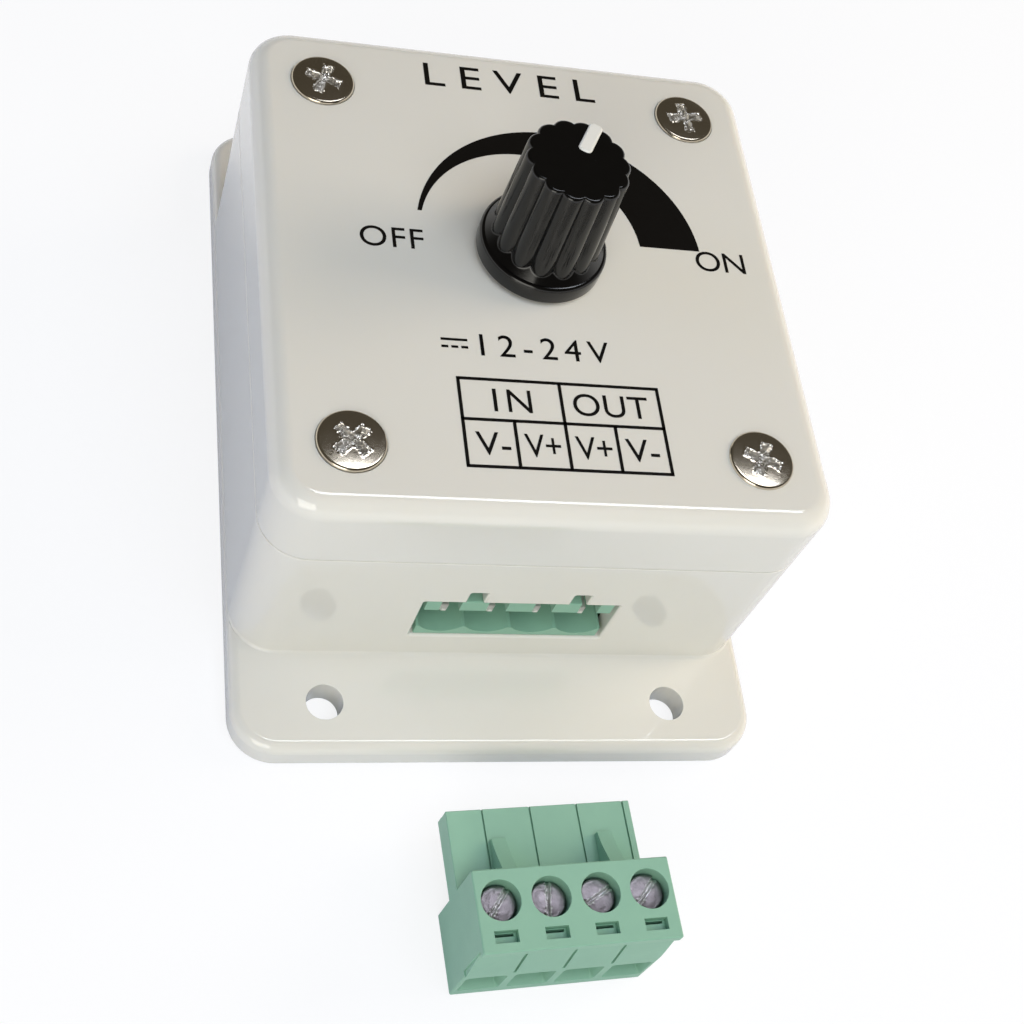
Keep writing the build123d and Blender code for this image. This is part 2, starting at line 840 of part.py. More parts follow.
for number, (spot, turn) in enumerate(zip(way_spots, plug_slot_turns), start=1):
    pieces[f"terminal_screw_{number}"] = make_terminal_screw(spot, turn)
    pieces[f"wire_clamp_{number}"] = make_wire_clamp(spot)

os.makedirs("parts", exist_ok=True)
for name, piece in pieces.items():
    export_step(piece, f"parts/{name}.step")
    print(name, round(piece.volume, 2))
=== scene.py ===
import bmesh
import bpy
import math
from mathutils import Matrix, Quaternion, Vector, noise


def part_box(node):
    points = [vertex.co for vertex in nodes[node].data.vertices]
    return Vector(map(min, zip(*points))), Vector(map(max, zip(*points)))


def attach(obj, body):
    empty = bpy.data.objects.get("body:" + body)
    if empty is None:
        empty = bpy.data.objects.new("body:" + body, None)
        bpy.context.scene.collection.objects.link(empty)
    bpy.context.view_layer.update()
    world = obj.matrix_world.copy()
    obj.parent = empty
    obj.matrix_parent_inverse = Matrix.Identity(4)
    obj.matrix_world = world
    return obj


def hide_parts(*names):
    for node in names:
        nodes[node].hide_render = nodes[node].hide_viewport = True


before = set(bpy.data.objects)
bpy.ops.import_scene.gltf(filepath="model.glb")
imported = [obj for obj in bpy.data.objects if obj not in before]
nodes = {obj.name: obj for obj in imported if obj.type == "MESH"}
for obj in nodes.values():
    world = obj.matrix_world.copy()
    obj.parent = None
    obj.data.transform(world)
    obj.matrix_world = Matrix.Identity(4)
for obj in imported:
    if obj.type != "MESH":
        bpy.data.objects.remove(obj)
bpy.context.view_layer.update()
scene = bpy.context.scene
mm = 0.001
past = 1.0  # cutters pass the surfaces they open by this many millimetres
weld = 0.0005  # points closer than this become one
print("frame loaded with", len(nodes), "nodes")


# Mesh helpers. Pieces are built in millimetres and scaled to metres when they are finished.
def newPiece(name, bm):
    bmesh.ops.recalc_face_normals(bm, faces=bm.faces)
    mesh = bpy.data.meshes.new(name)
    bm.to_mesh(mesh)
    bm.free()
    obj = bpy.data.objects.new(name, mesh)
    scene.collection.objects.link(obj)
    return obj


def dropPiece(obj):
    mesh = obj.data
    bpy.data.objects.remove(obj)
    bpy.data.meshes.remove(mesh)


def bakeModifiers(obj):
    graph = bpy.context.evaluated_depsgraph_get()
    mesh = bpy.data.meshes.new_from_object(obj.evaluated_get(graph))
    old = obj.data
    obj.modifiers.clear()
    obj.data = mesh
    bpy.data.meshes.remove(old)
    return obj


def lofted(rings):
    bm = bmesh.new()
    rows = [[bm.verts.new(point) for point in ring] for ring in rings]
    for low, high in zip(rows, rows[1:]):
        for here in range(len(low)):
            there = (here + 1) % len(low)
            bm.faces.new((low[here], low[there], high[there], high[here]))
    bm.faces.new(rows[0][::-1])
    bm.faces.new(rows[-1])
    return bm


def turned(profile, steps=64):
    # Radius and height from the lower end to the upper one; a radius of 0 is a pole
    bm = bmesh.new()
    rows = []
    for radius, height in profile:
        count = steps if radius > 0 else 1
        angles = [2 * math.pi * step / steps for step in range(count)]
        rows.append([bm.verts.new((radius * math.cos(a), radius * math.sin(a), height)) for a in angles])
    for low, high in zip(rows, rows[1:]):
        for here in range(max(len(low), len(high))):
            there = here + 1
            loop = (low[here % len(low)], low[there % len(low)],
                    high[there % len(high)], high[here % len(high)])
            bm.faces.new(list(dict.fromkeys(loop)))
    for row in (rows[0], rows[-1]):
        if len(row) > 1:
            bm.faces.new(row)
    return bm


def roundRect(halfX, halfY, radius, steps=6):
    points = []
    for quarter, (signX, signY) in enumerate(((1, 1), (-1, 1), (-1, -1), (1, -1))):
        for step in range(steps + 1):
            angle = math.pi / 2 * (quarter + step / steps)
            points.append((signX * (halfX - radius) + radius * math.cos(angle),
                           signY * (halfY - radius) + radius * math.sin(angle)))
    return points


def edgeRows(bottom, top, bottomRound, topRound, steps=5):
    # Inset and height from the lower edge to the upper one, both edges rounded
    turns = [math.pi / 2 * step / steps for step in range(steps + 1)]
    low = [(bottomRound * (1 - math.sin(a)), bottom + bottomRound * (1 - math.cos(a))) for a in turns]
    high = [(topRound * (1 - math.cos(a)), top - topRound * (1 - math.sin(a))) for a in turns]
    return low + high


def slab(halfX, halfY, radius, rows, steps=6, leastCorner=0.02):
    rings = []
    for inset, height in rows:
        outline = roundRect(halfX - inset, halfY - inset, max(radius - inset, leastCorner), steps)
        rings.append([(x, y, height) for x, y in outline])
    return lofted(rings)


def roundedBox(xRange, yRange, zRange, edge, steps=3, cornerShare=1.01):
    # The upright corners are a hair rounder than the edges, so that no corner shrinks to a point
    halfX, halfY = (xRange[1] - xRange[0]) / 2, (yRange[1] - yRange[0]) / 2
    bm = slab(halfX, halfY, edge * cornerShare, edgeRows(*zRange, edge, edge, steps), steps)
    bm.transform(Matrix.Translation((sum(xRange) / 2, sum(yRange) / 2, 0)))
    return bm


def plainBox(xRange, yRange, zRange):
    rings = []
    for z in zRange:
        rings.append([(xRange[0], yRange[0], z), (xRange[1], yRange[0], z),
                      (xRange[1], yRange[1], z), (xRange[0], yRange[1], z)])
    return lofted(rings)


def tunnel(width, height, corner, stations, place, steps=4):
    # A hole along Y: at each station the outline has grown by so much
    rings = []
    for grow, depth in stations:
        outline = roundRect(width / 2 + grow, height / 2 + grow, corner + max(grow, 0), steps)
        rings.append([(x, depth, z) for x, z in outline])
    bm = lofted(rings)
    bm.transform(Matrix.Translation((place[0], 0, place[1])))
    return bm


def sidePrism(outline, xRange):
    return lofted([[(x, y, z) for y, z in outline] for x in xRange])


def combined(target, tools, operation, overlapping=False):
    for tool in tools:
        modifier = target.modifiers.new(operation, "BOOLEAN")
        modifier.operation = operation
        modifier.solver = "EXACT"
        modifier.use_self = overlapping
        modifier.object = tool
    bakeModifiers(target)
    for tool in tools:
        dropPiece(tool)


def joinFlats(obj, flatAngle=0.05):
    # Joins what the cuts left of a flat face
    bm = bmesh.new()
    bm.from_mesh(obj.data)
    bmesh.ops.dissolve_limit(bm, angle_limit=math.radians(flatAngle), verts=bm.verts, edges=bm.edges)
    bm.to_mesh(obj.data)
    bm.free()


def finishPiece(obj, body, material, replaced=(), sharpAngle=32):
    mesh = obj.data
    bm = bmesh.new()
    bm.from_mesh(mesh)
    bmesh.ops.remove_doubles(bm, verts=bm.verts, dist=weld)
    bm.to_mesh(mesh)
    bm.free()
    mesh.transform(Matrix.Scale(mm, 4))
    mesh.materials.clear()
    mesh.materials.append(material)
    mesh.shade_smooth()
    mesh.set_sharp_from_angle(angle=math.radians(sharpAngle))
    normals = obj.modifiers.new("normals", "WEIGHTED_NORMAL")
    normals.keep_sharp = True
    bakeModifiers(obj)
    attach(obj, body)
    if replaced:
        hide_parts(*replaced)


# Node helpers
def toLinear(hexColour):
    # From the sRGB curve of a colour code to the linear values that shaders take
    parts = [int(hexColour[place:place + 2], 16) / 255 for place in (1, 3, 5)]
    linear = [c / 12.92 if c <= 0.04045 else ((c + 0.055) / 1.055) ** 2.4 for c in parts]
    return (*linear, 1.0)


def addNode(tree, kind, settings=None, links=None):
    node = tree.nodes.new(kind)
    for key, value in (settings or {}).items():
        if isinstance(key, str) and hasattr(node, key):
            setattr(node, key, value)
        else:
            node.inputs[key].default_value = value
    for key, source in (links or {}).items():
        tree.links.new(source, node.inputs[key])
    return node


def newMaterial(name, shaderSettings, patterns):
    # Each pattern is a noise, given by its size in millimetres and its detail
    material = bpy.data.materials.new(name)
    material.use_nodes = True
    tree = material.node_tree
    for key, value in shaderSettings.items():
        tree.nodes["Principled BSDF"].inputs[key].default_value = value
    coords = addNode(tree, "ShaderNodeTexCoord").outputs["Object"]
    fields = []
    for size, detail in patterns:
        fields.append(addNode(tree, "ShaderNodeTexNoise", {"Scale": 1 / (size * mm), "Detail": detail},
                              {"Vector": coords}))
    return material, tree, fields


def layered(tree, look, drift, gloss, relief=None):
    # What the finishes share: two tones that drift into each other, uneven gloss and a shallow relief
    first, second = (toLinear(tone) for tone in look["tones"])
    tint = addNode(tree, "ShaderNodeMix", {"data_type": "RGBA", 6: first, 7: second},
                   {0: drift.outputs["Fac"]})
    rough = addNode(tree, "ShaderNodeMapRange", {"To Min": look["gloss"][0], "To Max": look["gloss"][1]},
                    {"Value": gloss.outputs["Fac"]})
    layers = {"Base Color": tint.outputs[2], "Roughness": rough.outputs["Result"]}
    if relief is not None:
        bump = addNode(tree, "ShaderNodeBump", {"Strength": look["relief"], "Distance": look["depth"] * mm},
                       {"Height": relief.outputs["Fac"]})
        layers["Normal"] = bump.outputs["Normal"]
    return layers


def wireUp(tree, layers):
    for socket, source in layers.items():
        tree.links.new(source, tree.nodes["Principled BSDF"].inputs[socket])


# Materials
def mouldedAbs():
    # Gloss ABS from a polished mould: nearly mirror-smooth, faint flow waves, a little yellowed
    look = {"tones": ("#E4E3DD", "#E1DFD7"), "clouds": (26.0, 3.0), "grit": (0.5, 2.0), "waves": (9.0, 2.0),
            "relief": 0.6, "depth": 0.006, "gloss": (0.03, 0.06), "glowDepth": 0.9}
    # A little light passes under the surface and softens edges and holes
    material, tree, fields = newMaterial("mouldedAbs", {
        "IOR": 1.53, "Coat Weight": 0.5, "Coat Roughness": 0.02, "Subsurface Weight": 0.12,
        "Subsurface Radius": (1.0, 0.85, 0.65), "Subsurface Scale": look["glowDepth"] * mm},
        [look["clouds"], look["grit"], look["waves"]])
    wireUp(tree, layered(tree, look, *fields))
    return material


def blackAbs():
    # Black ABS knob: satin gloss with fine dust and rub marks that lighten it a touch
    look = {"tones": ("#020203", "#070708"), "rub": (2.4, 6.0), "dust": (0.3, 2.0), "gloss": (0.12, 0.17)}
    material, tree, fields = newMaterial("blackAbs", {"IOR": 1.5}, [look["rub"], look["dust"]])
    wireUp(tree, layered(tree, look, *fields))
    return material


def softPlastic(name, look):
    # Moulded engineering plastic: satin, with a fine spark-eroded grain and slight mottling
    look.update({"relief": 0.35, "mottleDetail": 4.0, "grainDetail": 3.0})
    material, tree, (mottle, grain) = newMaterial(name, {"IOR": 1.5}, [
        (look["mottle"], look["mottleDetail"]), (look["grain"], look["grainDetail"])])
    wireUp(tree, layered(tree, look, mottle, grain, grain))
    return material


def platedMetal(name, look):
    # Plated metal: mirror-like, broken up by fine handling scratches and duller patches
    look.update({"relief": 0.25, "patchDetail": 5.0, "scratchDetail": 3.0, "stretch": (1.0, 9.0, 1.0),
                 "slant": (0.0, 0.0, 0.6), "wornDull": 0.05})
    material, tree, (patches, scratches) = newMaterial(name, {"Metallic": look["metal"]}, [
        (look["patch"], look["patchDetail"]), (look["scratch"], look["scratchDetail"])])
    coords = addNode(tree, "ShaderNodeTexCoord").outputs["Object"]
    lines = addNode(tree, "ShaderNodeMapping", {"Scale": look["stretch"], "Rotation": look["slant"]},
                    {"Vector": coords})
    tree.links.new(lines.outputs["Vector"], scratches.inputs["Vector"])
    layers = layered(tree, look, patches, patches, scratches)
    # Where a driver has worn the plating through, the metal is bare and a little duller
    worn = addNode(tree, "ShaderNodeAttribute", {"attribute_name": "worn"}).outputs["Fac"]
    layers["Base Color"] = addNode(tree, "ShaderNodeMix", {"data_type": "RGBA", 7: toLinear(look["bare"])},
                                   {0: worn, 6: layers["Base Color"]}).outputs[2]
    layers["Roughness"] = addNode(tree, "ShaderNodeMath", {"operation": "MULTIPLY_ADD", 1: look["wornDull"]},
                                  {0: worn, 2: layers["Roughness"]}).outputs[0]
    wireUp(tree, layers)
    return material


finishes = {
    "case": mouldedAbs(),
    "knob": blackAbs(),
    # Glass-filled PA 66: pale green, satin
    "green": softPlastic("greenPolyamide", {
        "tones": ("#8DBBA3", "#82B09A"), "mottle": 3.0, "grain": 0.16, "depth": 0.02, "gloss": (0.38, 0.55)}),
    # White ABS strip pressed into the knob: a clean satin white
    "pointer": softPlastic("whiteAbs", {
        "tones": ("#ECECE8", "#E2E2DC"), "mottle": 1.5, "grain": 0.2, "depth": 0.01, "gloss": (0.30, 0.42)}),
    # Screen-printed epoxy ink: black with a slight sheen
    "ink": softPlastic("screenInk", {
        "tones": ("#080707", "#0E0D0D"), "mottle": 0.6, "grain": 0.12, "depth": 0.003,
        "gloss": (0.12, 0.20)}),
    # Bright nickel on steel: a warm mirror
    "nickel": platedMetal("nickelPlatedSteel", {
        "metal": 1.0, "tones": ("#DCD3C4", "#C6BCAA"), "bare": "#EEECE8", "patch": 1.6, "scratch": 0.35,
        "depth": 0.01, "gloss": (0.12, 0.22)}),
    # Zinc on steel: greyer and duller, scratched by the driver
    "zinc": platedMetal("zincPlatedSteel", {
        "metal": 1.0, "tones": ("#A59EA4", "#7F787E"), "bare": "#E8E6E8", "patch": 0.5, "scratch": 0.2,
        "depth": 0.03, "gloss": (0.26, 0.46)}),
    # Tin on brass: soft and white under its thin oxide
    "tin": platedMetal("tinnedBrass", {
        "metal": 0.5, "tones": ("#F0EFEC", "#E0DED9"), "bare": "#E9E8E4", "patch": 0.9, "scratch": 0.3,
        "depth": 0.01, "gloss": (0.22, 0.38)}),
    # FR4 laminate under solder mask: deep green with some gloss
    "board": softPlastic("solderMask", {
        "tones": ("#1F5A34", "#194C2B"), "mottle": 4.0, "grain": 0.4, "depth": 0.01, "gloss": (0.22, 0.36)}),
    # Transfer-moulded epoxy of the semiconductors: matt black
    "epoxy": softPlastic("mouldedEpoxy", {
        "tones": ("#1C1C1E", "#242426"), "mottle": 1.2, "grain": 0.1, "depth": 0.01, "gloss": (0.48, 0.62)}),
    # Lacquer of resistors and ceramic capacitors: beige with a soft gloss
    "lacquer": softPlastic("beigeLacquer", {
        "tones": ("#C9A877", "#BC9868"), "mottle": 1.0, "grain": 0.3, "depth": 0.02, "gloss": (0.25, 0.40)}),
    # Shrunk PVC sleeve of the electrolytic capacitor: dark blue, glossy
    "sleeve": softPlastic("pvcSleeve", {
        "tones": ("#20242E", "#1A1D26"), "mottle": 3.0, "grain": 0.5, "depth": 0.01, "gloss": (0.18, 0.30)}),
    # Paper phenolic of the control's wafer: brown and dull
    "phenolic": softPlastic("paperPhenolic", {
        "tones": ("#6B4427", "#5C3A20"), "mottle": 1.4, "grain": 0.25, "depth": 0.01, "gloss": (0.40, 0.55)}),
    # PVC insulation of the control's leads: red, satin
    "insulation": softPlastic("redPvc", {
        "tones": ("#A32A22", "#93241D"), "mottle": 2.0, "grain": 0.3, "depth": 0.01, "gloss": (0.35, 0.48)}),
}
print("materials made:", len(finishes))


# Geometry Nodes
def newTree(name, inputs):
    tree = bpy.data.node_groups.new(name, "GeometryNodeTree")
    for label, kind in inputs:
        tree.interface.new_socket(label, in_out="INPUT", socket_type="NodeSocket" + kind)
    tree.interface.new_socket("Geometry", in_out="OUTPUT", socket_type="NodeSocketGeometry")
    return tree, addNode(tree, "NodeGroupInput").outputs


def endTree(tree, geometry, finish):
    solid = addNode(tree, "GeometryNodeRealizeInstances", links={"Geometry": geometry})
    dressed = addNode(tree, "GeometryNodeSetMaterial", links={
        "Geometry": solid.outputs[0], "Material": finish})
    addNode(tree, "NodeGroupOutput", links={"Geometry": dressed.outputs[0]})
    return tree


def runTree(name, tree, values):
    obj = newPiece(name, bmesh.new())
    modifier = obj.modifiers.new(name, "NODES")
    modifier.node_group = tree
    for item in tree.interface.items_tree:
        if item.in_out == "INPUT":
            modifier[item.identifier] = values[item.name]
    return bakeModifiers(obj)


def makeCopiesTree():
    tree, given = newTree("copiesOnGrid", [("Piece", "Object"), ("Columns", "Int"), ("Rows", "Int"),
                                           ("Spacing X", "Float"), ("Spacing Y", "Float"), ("Turn", "Float"),
                                           ("Seed", "Int"), ("Finish", "Material")])
    spans = []
    for count, spacing in (("Columns", "Spacing X"), ("Rows", "Spacing Y")):
        gaps = addNode(tree, "ShaderNodeMath", {"operation": "SUBTRACT", 1: 1.0}, {0: given[count]})
        spans.append(addNode(tree, "ShaderNodeMath", {"operation": "MULTIPLY"},
                             {0: gaps.outputs[0], 1: given[spacing]}))
    grid = addNode(tree, "GeometryNodeMeshGrid", links={
        "Size X": spans[0].outputs[0], "Size Y": spans[1].outputs[0],
        "Vertices X": given["Columns"], "Vertices Y": given["Rows"]})
    angle = addNode(tree, "FunctionNodeRandomValue", {"data_type": "FLOAT"},
                    {3: given["Turn"], "Seed": given["Seed"]})
    turn = addNode(tree, "ShaderNodeCombineXYZ", links={"Z": angle.outputs[1]})
    rotation = addNode(tree, "FunctionNodeEulerToRotation", links={0: turn.outputs[0]})
    source = addNode(tree, "GeometryNodeObjectInfo", links={"Object": given["Piece"]})
    copies = addNode(tree, "GeometryNodeInstanceOnPoints", links={
        "Points": grid.outputs["Mesh"], "Instance": source.outputs["Geometry"],
        "Rotation": rotation.outputs[0]})
    return endTree(tree, copies.outputs[0], given["Finish"])


copiesTree = makeCopiesTree()


def copies(name, piece, columns, rows, spacingX, spacingY, finish, turn=0.0, seed=0):
    obj = runTree(name, copiesTree, {"Piece": piece, "Columns": columns, "Rows": rows, "Spacing X": spacingX,
                                     "Spacing Y": spacingY, "Turn": turn, "Seed": seed, "Finish": finish})
    dropPiece(piece)
    return obj


# Case: base with flanges, and lid
case = {"corner": 5.0, "cornerSteps": 14, "innerSteps": 10, "wall": 2.2, "floor": 2.4, "roof": 2.6,
        "flange": 3.5, "flangeRound": 1.2, "flangeFoot": 0.3, "flangeSteps": 8,
        "bodyDepth": 62.5, "lidRound": 2.2, "lidSteps": 12,
        "seamRound": 0.18, "seamGap": 0.08, "footFillet": 0.4,
        "holeSpacing": (38.6, 74.0), "holeRadius": 2.0, "holeRim": 0.06,
        "screwSpacing": (42.6, 46.9), "postRadius": 3.8, "threadRadius": 1.8, "threadFoot": 14.0,
        "clearRadius": 2.0, "seatRadius": 3.54, "seatDepth": 1.0, "seatRim": 0.1,
        "controlSpot": (0.5, 1.3), "controlHole": 3.75,
        "boardScrewX": 13.2, "boardScrewY": (-14.65, 19.85), "boardPost": 3.0, "boardSeat": 6.3,
        "windowWidth": 21.5, "windowZ": (7.8, 15.4), "windowRim": 0.3, "windowCorner": 0.2,
        "notchX": (-5.3, 6.0), "notchWidth": 1.8, "notchTop": 17.5}
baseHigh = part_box("base_housing")[1] / mm
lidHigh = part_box("lid")[1] / mm
parting = baseHigh.z
lidTop = lidHigh.z
bodyHalfX = lidHigh.x
bodyHalfY = case["bodyDepth"] / 2
frontWall = -bodyHalfY
quarterTurns = [math.pi / 2 * step / 6 for step in range(7)]
quarterArc = [(1 - math.sin(a), 1 - math.cos(a)) for a in quarterTurns]


def corners(spacing):
    return [(x * spacing[0] / 2, y * spacing[1] / 2) for x in (-1, 1) for y in (-1, 1)]


def drill(radius, bottom, top, rim, spot, rimBelow=0.0, steps=48):
    # Round hole with rolled rims where it breaks the surfaces
    rows = [(radius + rimBelow, bottom - past)]
    rows += [(radius + rimBelow * side, bottom + rimBelow * up) for side, up in quarterArc]
    rows += [(radius + rim * up, top - rim * side) for side, up in quarterArc]
    rows += [(radius + rim, top + past)]
    bm = turned(rows, steps)
    bmesh.ops.remove_doubles(bm, verts=bm.verts, dist=weld / 5)
    bm.transform(Matrix.Translation((*spot, 0)))
    return newPiece("drill", bm)


def upright(radius, bottom, top, spot, steps=40):
    bm = turned([(radius, bottom), (radius, top)], steps)
    bm.transform(Matrix.Translation((*spot, 0)))
    return newPiece("post", bm)


def windowCut(width, low, high, x):
    rim = case["windowRim"]
    stations = [(rim, frontWall - past)]
    stations += [(rim * side, frontWall + rim * up) for side, up in quarterArc]
    stations += [(0.0, frontWall + case["wall"] + past)]
    middle = (x, (low + high) / 2)
    return newPiece("window", tunnel(width, high - low, case["windowCorner"], stations, middle))


def makeBase():
    corner, steps, wall = case["corner"], case["cornerSteps"], case["wall"]
    rows = edgeRows(0, case["flange"], case["flangeFoot"], case["flangeRound"], case["flangeSteps"])
    base = newPiece("caseBase", slab(baseHigh.x, baseHigh.y, corner, rows, steps))
    fillet, seam = case["footFillet"], case["seamRound"]
    rows = [(fillet, 0.0, case["flange"] / 2)]
    rows += [(fillet * side, 0.0, case["flange"] + fillet * up) for side, up in quarterArc]
    rows += [(0.0, seam * up, parting - seam * side) for side, up in quarterArc]
    rings = []
    for flare, inset, height in rows:
        outline = roundRect(bodyHalfX - inset, bodyHalfY + flare - inset, corner - inset, steps)
        rings.append([(x, y, height) for x, y in outline])
    combined(base, [newPiece("walls", lofted(rings))], "UNION")
    inside = slab(bodyHalfX - wall, bodyHalfY - wall, corner - wall,
                  [(0, case["floor"]), (0, parting + past)], case["innerSteps"])
    combined(base, [newPiece("inside", inside)], "DIFFERENCE")
    screwSpots = corners(case["screwSpacing"])
    boardSpots = [(x * case["boardScrewX"], y) for x in (-1, 1) for y in case["boardScrewY"]]
    posts = [upright(case["postRadius"], case["floor"] / 2, parting, spot) for spot in screwSpots]
    posts += [upright(case["boardPost"], case["floor"] / 2, case["boardSeat"], spot) for spot in boardSpots]
    combined(base, posts, "UNION")
    rim = case["holeRim"]
    cuts = [drill(case["holeRadius"], 0, case["flange"], rim, spot, rim)
            for spot in corners(case["holeSpacing"])]
    cuts += [upright(case["threadRadius"], case["threadFoot"], parting + past, spot) for spot in screwSpots]
    cuts.append(windowCut(case["windowWidth"], *case["windowZ"], 0.0))
    notchFoot = sum(case["windowZ"]) / 2
    cuts += [windowCut(case["notchWidth"], notchFoot, case["notchTop"], x) for x in case["notchX"]]
    combined(base, cuts, "DIFFERENCE")
    joinFlats(base)
    finishPiece(base, "case", finishes["case"], ["base_housing"])


def makeLid():
    corner, wall = case["corner"], case["wall"]
    rows = edgeRows(parting + case["seamGap"], lidTop, case["seamRound"], case["lidRound"], case["lidSteps"])
    lid = newPiece("caseLid", slab(bodyHalfX, bodyHalfY, corner, rows, case["cornerSteps"]))
    inside = slab(bodyHalfX - wall, bodyHalfY - wall, corner - wall,
                  [(0, parting - past), (0, lidTop - case["roof"])], case["innerSteps"])
    combined(lid, [newPiece("inside", inside)], "DIFFERENCE")
    screwSpots = corners(case["screwSpacing"])
    roofMiddle = lidTop - case["roof"] / 2
    combined(lid, [upright(case["postRadius"], parting, roofMiddle, spot) for spot in screwSpots], "UNION")
    cuts = [upright(case["clearRadius"], parting - past, lidTop + past, spot) for spot in screwSpots]
    seatFloor = lidTop - case["seatDepth"]
    cuts += [drill(case["seatRadius"], seatFloor + past, lidTop, case["seatRim"], spot)
             for spot in screwSpots]
    cuts.append(upright(case["controlHole"], parting, lidTop + past, case["controlSpot"]))
    combined(lid, cuts, "DIFFERENCE")
    joinFlats(lid)
    finishPiece(lid, "case", finishes["case"], ["lid"])


makeBase()
makeLid()
print("case made")


# Screws: heads are turned, then their drive is pressed in with the ragged edges a driver leaves
lidScrew = {"radius": 3.5, "seat": 32.1, "top": 33.6, "edge": 0.32, "crown": 0.16, "shank": 1.75, "end": 16.1,
            "tip": 0.8, "driveLength": 4.0, "driveWidth": 1.0, "driveTurns": (0.0, 90.0), "driveDepth": 1.15,
            "driveSlope": 0.3, "ragged": 0.2, "raggedSize": 0.5, "burr": 0.1, "chips": 0.16, "dents": 0.0,
            "spokes": 144, "ringStep": 0.06, "sharpAngle": 50, "seed": 298}
wear = {"coarse": 0.3, "fine": 0.14, "fineShare": 0.5, "shallowEnds": 0.4, "burrPlace": 0.06,
        "burrWidth": 0.1, "burrEven": 0.35, "bareFrom": 0.2, "bareTo": -0.04, "bareGrain": 0.12,
        "slack": 0.001}


def smoothStep(low, high, value):
    share = min(max((value - low) / (high - low), 0.0), 1.0)
    return share * share * (3 - 2 * share)


def driveDistance(screw, x, y):
    # Negative inside the drive; its outline wanders, each way by its own layer of the noise
    size = screw["raggedSize"]
    x += screw["ragged"] * noise.noise((x / size, y / size, 1.5))
    y += screw["ragged"] * noise.noise((x / size, y / size, 8.5))
    nearest = math.inf
    for turn in screw["driveTurns"]:
        angle = math.radians(turn)
        along = abs(x * math.cos(angle) + y * math.sin(angle)) - screw["driveLength"] / 2
        across = abs(y * math.cos(angle) - x * math.sin(angle)) - screw["driveWidth"] / 2
        nearest = min(nearest, max(along, across))
    return nearest


def driverWear(screw, x, y):
    # How far the driver has moved a point of the head up or down, and how bare it has left it
    distance = driveDistance(screw, x, y)
    inside = smoothStep(0.0, screw["driveSlope"], -distance)
    reach = min(math.hypot(x, y) / (screw["driveLength"] / 2), 1.0)
    deep = screw["driveDepth"] * (1 - wear["shallowEnds"] * reach)
    grain = noise.noise((x / wear["coarse"], y / wear["coarse"], 3.0))
    grain += wear["fineShare"] * noise.noise((x / wear["fine"], y / wear["fine"], 6.0))
    ridge = math.exp(-((distance - wear["burrPlace"]) / wear["burrWidth"]) ** 2)
    burr = screw["burr"] * ridge * (wear["burrEven"] + grain)
    rough = screw["chips"] * inside + screw["dents"] * (1 - inside)
    move = burr * (1 - inside) + rough * grain - deep * inside
    return move, smoothStep(wear["bareFrom"], wear["bareTo"], distance + wear["bareGrain"] * grain)


def screwHead(name, screw):
    radius, seat, top, edge = screw["radius"], screw["seat"], screw["top"], screw["edge"]
    shank, end, tip, crown = screw["shank"], screw["end"], screw["tip"], screw["crown"]
    profile = [(0.0, end), (shank - tip, end), (shank, end + tip), (shank, seat), (radius, seat)]
    rim = radius - edge
    profile += [(rim + edge * math.cos(a), top - crown - edge * (1 - math.sin(a))) for a in quarterTurns]
    rings = int(rim / screw["ringStep"])
    inward = [1 - ring / rings for ring in range(1, rings)]
    profile += [(rim * share, top - crown * share ** 2) for share in inward]
    profile.append((0.0, top))
    piece = newPiece(name, turned(profile, screw["spokes"]))
    worn = piece.data.attributes.new("worn", "FLOAT", "POINT")
    headFoot = top - crown - edge - wear["slack"]
    for vertex, mark in zip(piece.data.vertices, worn.data):
        x, y, z = vertex.co
        if z >= headFoot:
            move, mark.value = driverWear(screw, x, y)
            vertex.co.z = min(z + move, top)
    return piece


def makeLidScrews():
    screws = copies("lidScrews", screwHead("screw", lidScrew), 2, 2, *case["screwSpacing"],
                    finishes["nickel"], math.pi / 2, lidScrew["seed"])
    finishPiece(screws, "case", finishes["nickel"], ["lid_screws"], lidScrew["sharpAngle"])


makeLidScrews()
print("lid screws made")


# Knob: a loft of rings whose grip part swells into lobes
knob = {"skirt": 6.95, "skirtTop": 35.9, "skirtRound": 0.45, "footRound": 0.2, "slopeTop": 37.1,
        "slopeRadius": 5.275, "slopeSteps": 24, "gripFoot": 5.95, "gripTop": 5.5, "gripSteps": 9,
        "edgeRound": 0.4, "crownRings": (4.8, 4.2, 3.4, 2.4, 1.2, 0.0), "lobes": 14, "lobeRadius": 1.35,
        "stepsPerLobe": 18, "cavity": 6.07, "bore": 3.02, "boreTop": 46.0, "sharpAngle": 36,
        "pointerTurn": -27.5, "pointerWidth": 1.48, "pointerRange": (1.4, 5.65), "pointerFoot": 46.8,
        "pointerCorner": 0.5, "cornerSteps": 8, "pointerEdge": 0.22, "pointerFootEdge": 0.02,
        "pointerPlay": 0.01}
knobLow, knobHigh = (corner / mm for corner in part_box("knob"))
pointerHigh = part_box("knob_pointer")[1] / mm
knobAxis = Vector((*case["controlSpot"], 0))


